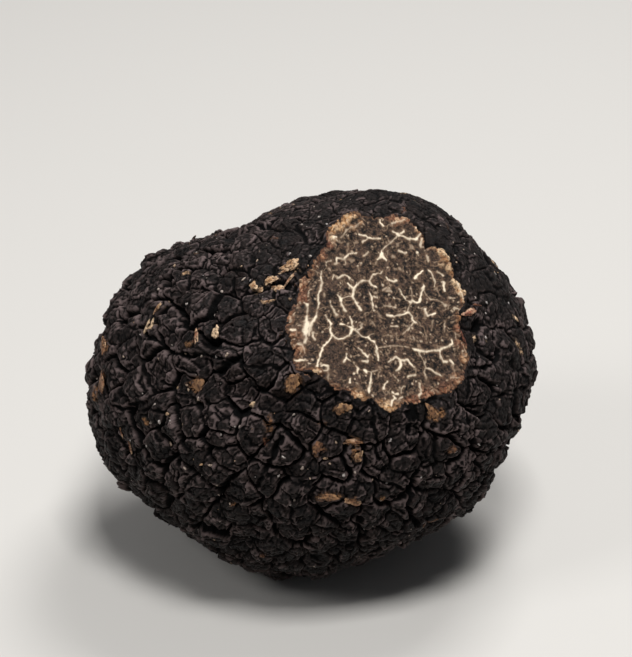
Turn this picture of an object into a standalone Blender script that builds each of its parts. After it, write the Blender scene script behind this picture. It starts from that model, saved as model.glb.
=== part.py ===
"""A black truffle with two slices shaved off its upper front, in metres, +Z up.

The truffle is one solid. Its smooth body is an egg shape with a few swells and hollows. Low polygonal
warts cover it, parted by narrow cracks, and two flat cuts lay the flesh open. It rests on a small flat
spot on its underside. The origin is on the resting surface, under the middle of the bounding box, and
+X runs along the longest side.
"""

import math
from collections import namedtuple

import bmesh
import bpy
import numpy as np
from mathutils import Vector

MM = 0.001
NAME = "truffle"

# Driving dimensions of the smooth body, without its swells
LENGTH = 52.6 * MM
DEPTH = 45.2 * MM
HEIGHT = 43.0 * MM
MIDDLE = Vector((0.2, -0.3, 20.6)) * MM

# A swell raises the body by height round one direction, and a negative height is a hollow.
# Angles are in degrees. Azimuth runs from +X towards +Y.
Swell = namedtuple("Swell", "azimuth elevation height spread")
SWELLS = (
    Swell(44, 44, 2.6 * MM, 32),  # the high lobe at the upper right
    Swell(10, 68, 1.0 * MM, 15),  # its brow over the cut
    Swell(-104, 54, -0.8 * MM, 15),  # the fall left of the cut
    Swell(-24, 29, -1.6 * MM, 15),  # the fall right of the cut
    Swell(140, 52, -2.5 * MM, 20),  # the saddle between the two lobes
    Swell(172, 14, -1.0 * MM, 13),  # the notch over the left end
    Swell(188, -14, 0.5 * MM, 20),  # the left end
    Swell(205, -40, -2.2 * MM, 17),  # the left end tucks under
    Swell(-32, -52, -2.2 * MM, 22),  # the right end tucks under
    Swell(-8, -13, -2.8 * MM, 13),  # the flat under the right end
    Swell(250, 8, 0.8 * MM, 24),  # the chest at the front
    Swell(253, -54, 1.1 * MM, 24),  # the belly at the lower front
    Swell(75, 2, 0.9 * MM, 26),  # the back lobe
    Swell(108, -24, -1.4 * MM, 18),  # the hollow in the back
    Swell(140, 6, 1.0 * MM, 20),  # the left shoulder at the back
)

# A furrow is a fold in the skin between two directions, each an azimuth and an elevation.
Furrow = namedtuple("Furrow", "start end depth spread")
FURROWS = (
    Furrow((218, 22), (259, 24), 1.1 * MM, 4.0),  # across the left shoulder
    Furrow((256, -12), (246, -30), 0.8 * MM, 3.5),  # down the front
    Furrow((60, 30), (112, 22), 1.0 * MM, 4.5),  # across the back
)

# Warts
WART_COUNT = 600
WART_SEED = 11
WART_SCATTER = 0.2  # how far a wart strays, as a share of the spacing
WART_LIFT = 0.17 * MM  # how much one wart stands higher than the next
WART_CROWN = 0.28 * MM  # how far a wart's middle stands over its shoulder
CRACK_DEPTH = 0.95 * MM
CRACK_SHARE = 0.17  # how far the shoulders draw back from a crack
SHORTEST_SIDE = 0.55 * MM  # corners of a wart that are closer are joined

# Where the warts are worn low. Share is what is left of the relief there.
Worn = namedtuple("Worn", "azimuth elevation share spread")
WORN_PLACES = (
    Worn(60, 60, 0.45, 38),  # the smooth top
    Worn(0, -90, 0.3, 30),  # the underside that it rests on
)

# The two cuts: the direction they face, and how far each plane is from the middle
Cut = namedtuple("Cut", "name azimuth elevation distance")
CUTS = (
    Cut("main_cut", -60, 50, 19.85 * MM),
    Cut("edge_cut", -79, 54, 20.65 * MM),
    Cut("resting_cut", 0, -90, MIDDLE.z),
)
CUTTER_SIZE = 80 * MM

SKIN_COLOUR = (0.030, 0.026, 0.025, 1.0)
SKIN_ROUGHNESS = 0.62


def clear_scene():
    for old in list(bpy.data.objects):
        bpy.data.objects.remove(old)


def direction(azimuth, elevation):
    """The unit vector at an azimuth and an elevation in degrees."""
    turn, rise = math.radians(azimuth), math.radians(elevation)
    return np.array(
        [math.cos(turn) * math.cos(rise), math.sin(turn) * math.cos(rise), math.sin(rise)]
    )


def unit(vectors):
    return vectors / np.linalg.norm(vectors, axis=1)[:, None]


def bell(towards, centre, spread):
    """1 at the direction centre, falling off like a bell over spread degrees."""
    angle = np.degrees(np.arccos(np.clip(towards @ centre, -1, 1)))
    return np.exp(-((angle / spread) ** 2))


def nearest_on_fold(towards, start, end):
    """For each direction, the nearest direction on the straight line from start to end."""
    line = end - start
    along = np.clip((towards - start) @ line / (line @ line), 0, 1)
    return unit(start + along[:, None] * line)


def body_radius(towards):
    """How far the smooth body reaches from its middle in each direction."""
    half = np.array([LENGTH, DEPTH, HEIGHT]) / 2
    radius = 1 / np.linalg.norm(towards / half, axis=1)
    for swell in SWELLS:
        centre = direction(swell.azimuth, swell.elevation)
        radius += swell.height * bell(towards, centre, swell.spread)
    for furrow in FURROWS:
        nearest = nearest_on_fold(towards, direction(*furrow.start), direction(*furrow.end))
        angle = np.degrees(np.arccos(np.clip((towards * nearest).sum(axis=1), -1, 1)))
        radius -= furrow.depth * np.exp(-((angle / furrow.spread) ** 2))
    return radius


def relief_share(towards):
    """How much of the full wart relief is left in each direction."""
    share = np.ones(len(towards))
    for worn in WORN_PLACES:
        centre = direction(worn.azimuth, worn.elevation)
        share *= 1 - (1 - worn.share) * bell(towards, centre, worn.spread)
    return share


def wart_directions(random):
    """Directions spread evenly by the golden angle, then each moved a little at random."""
    index = np.arange(WART_COUNT)
    height = 1 - (2 * index + 1) / WART_COUNT
    turn = index * math.pi * (3 - math.sqrt(5))
    ring = np.sqrt(1 - height**2)
    even = np.stack([ring * np.cos(turn), ring * np.sin(turn), height], axis=1)
    spacing = math.sqrt(4 * math.pi / WART_COUNT)
    return unit(even + random.normal(scale=WART_SCATTER * spacing, size=even.shape))


def faces_in_turn(vertex):
    """The faces round a vertex of a hull about the origin, anticlockwise seen from outside."""
    axis = vertex.co.normalized()
    side = axis.orthogonal().normalized()
    up = axis.cross(side)

    def angle(face):
        away = face.calc_center_median() - vertex.co
        return math.atan2(away.dot(up), away.dot(side))

    return sorted(vertex.link_faces, key=angle)


def cell_mesh(centres):
    """A closed mesh on the unit sphere with one polygon round each centre.

    The convex hull of the centres links each one to its neighbours. The normal of each triangle of
    that hull is the direction of the corner where three polygons meet.
    """
    hull = bmesh.new()
    for centre in centres:
        hull.verts.new(centre)
    bmesh.ops.convex_hull(hull, input=hull.verts[:])
    hull.faces.index_update()
    hull.normal_update()
    cells = bmesh.new()
    corners = []
    for face in hull.faces:
        outwards = 1 if face.normal.dot(face.calc_center_median()) > 0 else -1
        corners.append(cells.verts.new(face.normal * outwards))
    for vertex in hull.verts:
        cells.faces.new([corners[face.index] for face in faces_in_turn(vertex)])
    hull.free()
    bmesh.ops.remove_doubles(cells, verts=cells.verts[:], dist=SHORTEST_SIDE / (LENGTH / 2))
    return cells


def raise_warts(cells, random):
    """Lifts a shoulder and a crown out of each polygon. Its edge stays down as the crack's floor."""
    lift = cells.verts.layers.float.new("lift")
    for corner in cells.verts:
        corner[lift] = -CRACK_DEPTH
    tops = bmesh.ops.extrude_discrete_faces(cells, faces=cells.faces[:])["faces"]
    for top in tops:
        middle = top.calc_center_median()
        wart_lift = random.normal(scale=WART_LIFT)
        for shoulder in top.verts:
            shoulder.co = shoulder.co.lerp(middle, CRACK_SHARE)
            shoulder[lift] = wart_lift
    crowns = bmesh.ops.poke(cells, faces=tops)["verts"]
    for crown in crowns:
        crown[lift] += WART_CROWN * random.uniform(0.2, 1.4)
    return lift


def wrap_on_body(cells, lift):
    """Moves every point from the unit sphere to the body's surface, plus its own lift."""
    towards = unit(np.array([vertex.co for vertex in cells.verts]))
    lifts = np.array([vertex[lift] for vertex in cells.verts])
    reach = body_radius(towards) + lifts * relief_share(towards)
    for vertex, way, distance in zip(cells.verts, towards, reach):
        vertex.co = MIDDLE + Vector(way) * distance


def warty_body():
    """The whole truffle before it is cut."""
    random = np.random.default_rng(WART_SEED)
    cells = cell_mesh(wart_directions(random))
    lift = raise_warts(cells, random)
    wrap_on_body(cells, lift)
    bmesh.ops.triangulate(cells, faces=cells.faces[:])
    mesh = bpy.data.meshes.new(NAME)
    cells.to_mesh(mesh)
    cells.free()
    body = bpy.data.objects.new(NAME, mesh)
    bpy.context.scene.collection.objects.link(body)
    return body


def cutter(cut):
    """A block whose near face is the plane of the cut. It is a helper and not a piece."""
    block = bmesh.new()
    bmesh.ops.create_cube(block, size=CUTTER_SIZE)
    mesh = bpy.data.meshes.new(cut.name)
    block.to_mesh(mesh)
    block.free()
    facing = Vector(direction(cut.azimuth, cut.elevation))
    helper = bpy.data.objects.new(cut.name, mesh)
    helper.location = MIDDLE + facing * (cut.distance + CUTTER_SIZE / 2)
    helper.rotation_euler = facing.to_track_quat("Z", "Y").to_euler()
    helper.hide_render = True
    helper.display_type = "WIRE"
    bpy.context.scene.collection.objects.link(helper)
    return helper


def cut_flat(body, cut):
    """Takes off all of the body that is beyond the plane of the cut."""
    difference = body.modifiers.new(cut.name, "BOOLEAN")
    difference.operation = "DIFFERENCE"
    difference.solver = "EXACT"
    difference.object = cutter(cut)


def skin_material():
    """The matt black-brown of the warts."""
    material = bpy.data.materials.new("truffle_skin")
    material.use_nodes = True
    shader = material.node_tree.nodes["Principled BSDF"]
    shader.inputs["Base Color"].default_value = SKIN_COLOUR
    shader.inputs["Roughness"].default_value = SKIN_ROUGHNESS
    shader.inputs["Metallic"].default_value = 0.0
    return material


def main():
    clear_scene()
    truffle = warty_body()
    truffle.data.materials.append(skin_material())
    for cut in CUTS:
        cut_flat(truffle, cut)


main()
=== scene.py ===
# %% [markdown]
# # A black truffle with its flesh laid open
#
# A black truffle is a fungus that grows under the ground. Its skin is a crust of low, many-sided warts,
# and the flesh inside is dark and marbled with pale veins. This one has had two slices shaved off its
# upper front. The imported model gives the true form, and this script makes the surface as fine as it
# looks from a hand's width away: warts with facets and wrinkles, black cracks, worn tan places, veins,
# a torn rim and grains of soil.

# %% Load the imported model
import math
from collections import namedtuple
from itertools import product

import bpy
import numpy as np
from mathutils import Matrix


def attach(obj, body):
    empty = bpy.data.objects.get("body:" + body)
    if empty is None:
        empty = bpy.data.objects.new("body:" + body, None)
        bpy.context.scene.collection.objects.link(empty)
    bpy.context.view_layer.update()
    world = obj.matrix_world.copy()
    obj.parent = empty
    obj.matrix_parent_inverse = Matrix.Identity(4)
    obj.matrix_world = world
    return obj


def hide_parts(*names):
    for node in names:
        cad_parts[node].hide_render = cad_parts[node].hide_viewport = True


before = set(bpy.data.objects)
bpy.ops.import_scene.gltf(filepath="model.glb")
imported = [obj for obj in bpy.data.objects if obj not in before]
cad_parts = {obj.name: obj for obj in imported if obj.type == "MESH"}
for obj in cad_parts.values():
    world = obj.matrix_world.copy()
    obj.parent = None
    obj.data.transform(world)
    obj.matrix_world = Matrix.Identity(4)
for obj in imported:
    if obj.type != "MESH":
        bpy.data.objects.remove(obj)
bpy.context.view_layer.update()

METRES = 0.001  # one millimetre

# %% [markdown]
# ## The smooth body
#
# Under the warts, a truffle is a lump like a small potato. A sculptor would push a ball about by hand.
# Here the lump is a formula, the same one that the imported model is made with: an egg shape, plus a few
# swells and hollows, less a few folds. A formula can be asked for a point anywhere, so a coarse solid and
# a fine skin can share it and fit each other exactly. Lengths below are millimetres from the body's middle.

# %% The body's dimensions
LENGTH = 52.6
DEPTH = 45.2
HEIGHT = 43.0
MIDDLE = np.array([0.2, -0.3, 20.6])

# Angles are in degrees. Azimuth runs from +X towards +Y.
Swell = namedtuple("Swell", "azimuth elevation height spread")
SWELLS = (
    Swell(44, 44, 2.6, 32),  # the high lobe at the upper right
    Swell(10, 68, 1.0, 15),  # its brow over the cut
    Swell(-104, 54, -0.8, 15),  # the fall left of the cut
    Swell(-24, 29, -1.6, 15),  # the fall right of the cut
    Swell(140, 52, -2.5, 20),  # the saddle between the two lobes
    Swell(172, 14, -1.0, 13),  # the notch over the left end
    Swell(188, -14, 0.5, 20),  # the left end
    Swell(205, -40, -2.2, 17),  # the left end tucks under
    Swell(-32, -52, -2.2, 22),  # the right end tucks under
    Swell(-8, -13, -2.8, 13),  # the flat under the right end
    Swell(250, 8, 0.8, 24),  # the chest at the front
    Swell(253, -54, 1.1, 24),  # the belly at the lower front
    Swell(75, 2, 0.9, 26),  # the back lobe
    Swell(108, -24, -1.4, 18),  # the hollow in the back
    Swell(140, 6, 1.0, 20),  # the left shoulder at the back
)
Furrow = namedtuple("Furrow", "start end depth spread")
FURROWS = (
    Furrow((218, 22), (259, 24), 1.1, 4.0),  # across the left shoulder
    Furrow((256, -12), (246, -30), 0.8, 3.5),  # down the front
    Furrow((60, 30), (112, 22), 1.0, 4.5),  # across the back
)
Worn = namedtuple("Worn", "azimuth elevation share spread")
WORN_PLACES = (
    Worn(60, 60, 0.45, 38),  # the smooth top
    Worn(0, -90, 0.3, 30),  # the underside that it rests on
)
CALM_PLACES = (
    Worn(-6, 42, 0.45, 22),  # the shoulder right of the cut
    Worn(246, 72, 0.6, 20),  # the slope above the left of the cut
    Worn(60, 60, 0.6, 38),  # the smooth top again, where cracks all but close
    Worn(-14, 18, 0.7, 18),  # the right flank
)
Cut = namedtuple("Cut", "azimuth elevation distance")
CUTS = (
    Cut(-60, 50, 19.85),  # the large slice
    Cut(-79, 54, 20.65),  # the narrow slice along its left side
)


# %% The body as a formula
MM_PER_PIXEL = 0.1174  # at the body's distance
FAR_OFF = 99.0  # where such a direction is put instead
LEAST_LEAN = 0.2  # a direction that leans less than this towards a plane never meets it


def direction(azimuth, elevation):
    """The unit vector at an azimuth and an elevation in degrees."""
    turn, rise = math.radians(azimuth), math.radians(elevation)
    return np.array([math.cos(turn) * math.cos(rise), math.sin(turn) * math.cos(rise), math.sin(rise)])


def unit(vectors):
    return vectors / np.linalg.norm(vectors, axis=-1, keepdims=True)


def degrees_between(towards, others):
    return np.degrees(np.arccos(np.clip((towards * others).sum(axis=-1), -1, 1)))


def bell(towards, azimuth, elevation, spread):
    """1 in the middle, and e to the power of minus (angle over spread) squared away from it."""
    angle = degrees_between(towards, direction(azimuth, elevation))
    return np.exp(-((angle / spread) ** 2))


def body_radius(towards):
    """The egg's reach is 1 over the length of (direction over half axes). Swells and folds add to it."""
    reach = 1 / np.linalg.norm(towards / (np.array([LENGTH, DEPTH, HEIGHT]) / 2), axis=-1)
    for swell in SWELLS:
        reach = reach + swell.height * bell(towards, swell.azimuth, swell.elevation, swell.spread)
    for furrow in FURROWS:
        start, end = direction(*furrow.start), direction(*furrow.end)
        line = end - start
        along = np.clip((towards - start) @ line / (line @ line), 0, 1)
        nearest = unit(start + along[..., None] * line)
        reach = reach - furrow.depth * np.exp(-((degrees_between(towards, nearest) / furrow.spread) ** 2))
    return reach


def cut_spread(towards):
    """Where each direction meets the plane of the large cut, as two lengths round the cut's middle. Those
    that never meet it are put far away."""
    ahead_of = towards @ cut_facing
    met = towards * (CUTS[0].distance / np.maximum(ahead_of, LEAST_LEAN))[..., None]
    met = met - cut_facing * CUTS[0].distance
    meets = ahead_of > LEAST_LEAN
    return np.where(meets, met @ cut_across, FAR_OFF), np.where(meets, met @ cut_up, FAR_OFF)


def relief_share(towards, places=WORN_PLACES):
    """How much of the full relief is left in each direction, from 0 to 1."""
    share = np.ones(towards.shape[:-1])
    for worn in places:
        share = share * (1 - (1 - worn.share) * bell(towards, worn.azimuth, worn.elevation, worn.spread))
    return share


cut_facing = direction(CUTS[0].azimuth, CUTS[0].elevation)
cut_across = unit(np.cross(np.array([0.0, 0.0, 1.0]), cut_facing))
cut_up = np.cross(cut_facing, cut_across)


def cut_radius(towards):
    """A plane is distance over (direction . normal) away. The nearer of the two planes counts."""
    reach = np.full(towards.shape[:-1], np.inf)
    for cut in CUTS:
        lean = towards @ direction(cut.azimuth, cut.elevation)
        met = cut.distance / np.maximum(lean, LEAST_LEAN)
        reach = np.where(lean > LEAST_LEAN, np.minimum(reach, met), reach)
    return reach


# %% [markdown]
# ## The camera, and where a spot of the photograph lies on the truffle
#
# The camera comes first, because worn places, folds and veins are placed by where the photograph shows
# them. A ray goes from the camera through that spot of the picture, and what it hits on the body is where
# the mark sits, so the mark stays on the truffle from every side. A long lens from 29 cm away gives the
# photograph's calm perspective.

# %% The camera
PICTURE_WIDTH = 632
PICTURE_HEIGHT = 657
LENS = 135.0
SENSOR = 36.0
CAMERA_ELEVATION = 28.0
CAMERA_DISTANCE = 289.0
AIM_RIGHT = 0.47  # how far right of the body's middle the camera aims
AIM_UP = 6.5  # and how far above it

right = np.array([1.0, 0.0, 0.0])
backwards = direction(-90, CAMERA_ELEVATION)
upwards = np.cross(backwards, right)
camera_place = right * AIM_RIGHT + upwards * AIM_UP + backwards * CAMERA_DISTANCE

camera_data = bpy.data.cameras.new("camera")
camera_data.lens = LENS
camera_data.sensor_width = SENSOR
camera_data.clip_start = 0.01
camera = bpy.data.objects.new("camera", camera_data)
camera.location = (MIDDLE + camera_place) * METRES
camera.rotation_euler = (math.radians(90 - CAMERA_ELEVATION), 0, 0)
bpy.context.scene.collection.objects.link(camera)
bpy.context.scene.camera = camera
focal_pixels = PICTURE_HEIGHT * LENS / SENSOR
print("camera", [round(v, 4) for v in camera.location], "focal length in pixels", round(focal_pixels))


# %% Rays through the picture
def rays(spots):
    """The unit vectors from the camera through spots (x, y) of the picture, counted from its top left."""
    spots = np.asarray(spots, float)
    x = (spots[:, :1] - PICTURE_WIDTH / 2) / focal_pixels
    y = (PICTURE_HEIGHT / 2 - spots[:, 1:]) / focal_pixels
    return unit(x * right + y * upwards - backwards)


def on_body(spots):
    """Where the rays first go below the smooth body, found on fine steps along each ray."""
    steps = CAMERA_DISTANCE + np.linspace(-30, 15, 901)
    along = camera_place + rays(spots)[:, None, :] * steps[None, :, None]
    over = np.linalg.norm(along, axis=-1) - body_radius(unit(along))
    first = (over < 0).argmax(axis=1)
    missed = ~(over < 0).any(axis=1)
    first[missed] = over[missed].argmin(axis=1)
    return along[np.arange(len(first)), first]


def on_cuts(spots):
    """A ray enters the flesh where it has passed both planes, at the larger of the two distances."""
    way = rays(spots)
    distance = np.full(len(way), -np.inf)
    for cut in CUTS:
        normal = direction(cut.azimuth, cut.elevation)
        distance = np.maximum(distance, (cut.distance - camera_place @ normal) / (way @ normal))
    return camera_place + way * distance[:, None]


# %% [markdown]
# ## Noise and cell patterns in numpy
#
# Natural surfaces are uneven at every size. Blender's own noise textures only reach a material, and this
# relief has to be real geometry, so two classic patterns are worked out here for whole arrays of points.
# Gradient noise gives soft bumps of one size. A cell pattern scatters one seed in each cube of a grid,
# and the distances to the nearest two seeds draw cobbles and the lines between them.

# %% Gradient noise
SLOPES = np.array([s for s in product((-1.0, 0.0, 1.0), repeat=3) if abs(s[0]) + abs(s[1]) + abs(s[2]) == 2])
CUBE_CORNERS = np.array(list(product((0, 1), repeat=3)))


def scramble(cells, seed):
    """A number from 0 to 1 for each cell: big odd products, mixed by exclusive or and stirred twice."""
    x, y, z = (cells[..., axis].astype(np.uint32) for axis in range(3))
    mixed = x * np.uint32(73856093) ^ y * np.uint32(19349663) ^ z * np.uint32(83492791)
    mixed = mixed ^ np.uint32(seed * 2654435761 % 2**32)
    mixed = (mixed ^ (mixed >> np.uint32(13))) * np.uint32(1274126177)
    mixed = (mixed ^ (mixed >> np.uint32(15))) * np.uint32(2246822519)
    return (mixed ^ (mixed >> np.uint32(16))) / 2.0**32


def noise(points, size, seed):
    """Each corner of a cube holds a slope. Their heights at the point are blended by an easing curve. Every
    use has a seed of its own, so that no two patterns match."""
    spot = points / size
    corner = np.floor(spot)
    part = spot - corner
    corner = corner.astype(np.int64)
    ease = part**3 * (part * (part * 6 - 15) + 10)
    total = np.zeros(len(points))
    for offset in CUBE_CORNERS:
        slope = SLOPES[(scramble(corner + offset, seed) * len(SLOPES)).astype(int)]
        weight = np.where(offset, ease, 1 - ease).prod(axis=1)
        total += weight * (slope * (part - offset)).sum(axis=1)
    return total


def fractal(points, size, seed, layers=3, fade=0.5):
    """Noise, plus finer and finer noise, each layer half the size and fade times the height."""
    return sum(noise(points, size / 2**k, seed + k) * fade**k for k in range(layers))


def ridges(points, size, seed):
    """1 along the winding lines where the noise is zero, falling to 0 away from them."""
    return 1 - np.minimum(np.abs(noise(points, size, seed)) * 2.2, 1)


def drift(points, size, seed):
    """A noise for each of X, Y and Z, to push points about with."""
    return np.stack([noise(points, size, seed + axis) for axis in range(3)], axis=1)


def smooth(value):
    """The easing curve 3 v^2 - 2 v^3 between 0 and 1."""
    value = np.clip(value, 0, 1)
    return value * value * (3 - 2 * value)


# %% A cell pattern
Cells = namedtuple("Cells", "gap tag lean")


def scrambles(cells, seed):
    """Three numbers from 0 to 1 for each cell."""
    return np.stack([scramble(cells, seed + axis) for axis in range(3)], axis=-1)


def cell_pattern(points, size, seed):
    """The seeds of the 27 cubes round each point are looked at, and the nearest one owns the point. Gap is
    how far the line to the next cell is, half the difference of the two distances. Tag is a number from 0
    to 1 for the cell. Lean is the height of a plane through the seed, tilted its own way in each cell."""
    spot = points / size
    home = np.floor(spot).astype(np.int64)
    nearest = np.full(len(points), np.inf)
    second = nearest.copy()
    owner = home.copy()
    for offset in product((-1, 0, 1), repeat=3):
        cell = home + np.array(offset)
        gap = np.linalg.norm(cell + scrambles(cell, seed) - spot, axis=1)
        closer = gap < nearest
        second = np.where(closer, nearest, np.minimum(second, gap))
        owner = np.where(closer[:, None], cell, owner)
        nearest = np.where(closer, gap, nearest)
    away = (spot - owner - scrambles(owner, seed)) * size
    lean = (away * (2 * scrambles(owner, seed + 4) - 1)).sum(axis=1)
    return Cells((second - nearest) * size / 2, scramble(owner, seed + 3), lean)


# %% [markdown]
# ## The warts
#
# Each wart is a blunt pyramid with up to five facets, about 3 mm across, and a crack runs between it and
# each neighbour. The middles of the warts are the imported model's: directions spread evenly by the golden
# angle, each moved a little by a seeded draw. A point belongs to the wart whose middle is nearest, and the
# crack is where two middles are equally near. The point is pushed about by noise before it is measured, so
# no crack is straight. Every pair of neighbours has a crack of its own, from a closed seam to a black gap.

# %% The warts' middles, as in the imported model
WART_COUNT = 600
WART_SEED = 11
WART_SCATTER = 0.2


def wart_directions(random):
    """Even heights from pole to pole, each turned by the golden angle, plus a normal draw."""
    index = np.arange(WART_COUNT)
    height = 1 - (2 * index + 1) / WART_COUNT
    turn = index * math.pi * (3 - math.sqrt(5))
    ring = np.sqrt(1 - height**2)
    even = np.stack([ring * np.cos(turn), ring * np.sin(turn), height], axis=1)
    spacing = math.sqrt(4 * math.pi / WART_COUNT)
    return unit(even + random.normal(scale=WART_SCATTER * spacing, size=even.shape))


warts = wart_directions(np.random.default_rng(WART_SEED))
print(len(warts), "warts")

# %% The six parts of the skin
SKIN_PARTS = ("skin_left", "skin_right", "skin_front", "skin_back", "skin_bottom", "skin_top")


def part_of(towards):
    """The number of the part that a direction belongs to: twice its longest axis, plus 1 if positive."""
    axis = np.abs(towards).argmax(axis=-1)
    positive = np.take_along_axis(towards, axis[..., None], axis=-1)[..., 0] > 0
    return 2 * axis + positive


wart_parts = part_of(warts)

# %% The nearest three warts
POINTS_AT_A_TIME = 20000  # to spare memory


def nearest_warts(towards):
    """Numbers of the three warts with the largest cosine to each direction, nearest first."""
    found = []
    for start in range(0, len(towards), POINTS_AT_A_TIME):
        batch = towards[start : start + POINTS_AT_A_TIME]
        cosine = batch.astype(np.float32) @ warts.T.astype(np.float32)
        rows = np.arange(len(cosine))
        picks = []
        for _ in range(3):
            best = cosine.argmax(axis=1)
            cosine[rows, best] = -2
            picks.append(best)
        found.append(np.stack(picks, axis=1))
    return np.concatenate(found)


def gap_to(towards, own, other, radius):
    """How far the border with another wart is: difference of squared distances over twice the spacing."""
    apart = np.linalg.norm(warts[own] - warts[other], axis=1)
    nearer = ((towards - warts[other]) ** 2).sum(axis=1) - ((towards - warts[own]) ** 2).sum(axis=1)
    return nearer / (2 * apart) * radius


# %% Each wart's facets
FACETS = 5
WART_RISE = 0.16  # how far an even wart's middle stands over the smooth body
WART_FALL = 0.80  # the most that a facet falls
shape_random = np.random.default_rng(23)
wart_lift = shape_random.normal(scale=0.16, size=WART_COUNT)
facet_steepness = shape_random.uniform(0.10, 0.46, size=(WART_COUNT, FACETS))
facet_start = shape_random.uniform(0.1, 0.8, size=(WART_COUNT, FACETS))
wart_across = unit(np.cross(warts, shape_random.normal(size=warts.shape)))
wart_ahead = np.cross(warts, wart_across)
stray = shape_random.uniform(-0.35, 0.35, size=(WART_COUNT, FACETS))
facet_turn = ((np.arange(FACETS) + stray) * math.tau / FACETS)[..., None]
facet_way = np.cos(facet_turn) * wart_across[:, None, :] + np.sin(facet_turn) * wart_ahead[:, None, :]


def wart_top(towards, wart, radius):
    """The wart's lift, less the steepest of its facets. A facet falls by its steepness times how far out
    the point is past where the facet starts."""
    offset = (towards - warts[wart]) * radius[:, None]
    fall = np.zeros(len(towards))
    for facet in range(FACETS):
        out = (offset * facet_way[wart, facet]).sum(axis=1) - facet_start[wart, facet]
        fall = np.maximum(fall, facet_steepness[wart, facet] * out)
    return wart_lift[wart] + WART_RISE - np.minimum(fall, WART_FALL)


# %% [markdown]
# ## The outline of the cut
#
# Where exactly the flesh ends is the eye's first landmark, and it isn't a clean curve: a lip at the upper
# left, a notch of dark skin at the upper right, a wavy edge below. So the outline is read off the picture
# as a ring of spots. Near it the skin is bent to meet the plane on the ring: just inside it stands
# over the plane and is cut off, and just outside it dips under.

# %% The ring
CUT_RING = (
    (357, 209), (350, 211), (343, 216), (336, 221), (329, 227), (326, 234), (327, 242), (320, 252),
    (310, 267), (301, 279), (298, 291), (294, 305), (287, 317), (284, 328), (289, 341), (294, 352),
    (292, 362), (297, 369), (308, 371), (317, 374), (325, 381), (333, 389), (347, 391), (354, 399),
    (363, 401), (372, 399), (379, 406), (391, 414), (400, 409), (405, 403), (418, 404), (431, 396),
    (447, 394), (459, 386), (465, 378), (467, 366), (470, 352), (463, 341), (459, 328), (461, 316),
    (466, 303), (467, 291), (457, 279), (452, 266), (450, 255), (437, 246), (425, 247), (423, 232),
    (417, 224), (407, 218), (396, 214), (385, 215), (374, 216), (364, 213),
)
RING_CENTRE = (386, 313)
RING_BLEND = 0.8  # how far on both sides of the ring the skin is bent
RING_SLOPE = 0.5  # how steeply it crosses the plane there
HELD_OVER = 0.45  # how steeply it is held over the plane inside the ring
HELD_UNDER = 0.10  # and under it outside
RING_NEAR = 12  # beyond this nothing is held
FARTHEST_PLANE = 60


def ring_polar(towards):
    """Distance and angle round the ring's centre, on the plane of the cut."""
    across, up = cut_spread(towards)
    across, up = across - ring_middle[0], up - ring_middle[1]
    return np.hypot(across, up), np.arctan2(up, across)


ring_middle = np.array([values[0] for values in cut_spread(unit(on_cuts([RING_CENTRE])))])
ring_reach, ring_turn = ring_polar(unit(on_cuts(CUT_RING)))
in_turn = np.argsort(ring_turn)
ring_reach, ring_turn = ring_reach[in_turn], ring_turn[in_turn]
print("the cut reaches from", ring_reach.min().round(1), "to", ring_reach.max().round(1), "mm")


def inside_ring(towards):
    """How far inside the ring each direction meets the plane, in millimetres, and less than 0 outside."""
    reach, turn = ring_polar(towards)
    return np.interp(turn, ring_turn, ring_reach, period=math.tau) - reach


def bend_to_ring(radius, towards, base, relief):
    """Blends the skin's radius into one that leaves the plane at a steady slope on both sides of the ring.
    Beyond the blend the skin is held over the plane inside the ring, and under it outside. The relief
    comes back as soon as the skin is outside."""
    inside = inside_ring(towards) + 0.22 * noise(base, 0.9, 90) + 0.14 * noise(base, 0.4, 91)
    plane = np.minimum(cut_radius(towards), FARTHEST_PLANE)
    blend = np.exp(-((inside / RING_BLEND) ** 2))
    sloped = plane + RING_SLOPE * np.clip(inside, -2.0, 2.0) + relief * smooth(-inside / 0.5)
    bent = radius * (1 - blend) + sloped * blend
    over = plane + HELD_OVER * np.clip(inside, 0, 1.2)
    under = plane - HELD_UNDER * np.clip(-inside, 0, 1)
    near = inside > -RING_NEAR
    bent = np.where(near & (inside > 0), np.maximum(bent, over), bent)
    return np.where(near & (inside <= 0), np.minimum(bent, under), bent)
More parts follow.
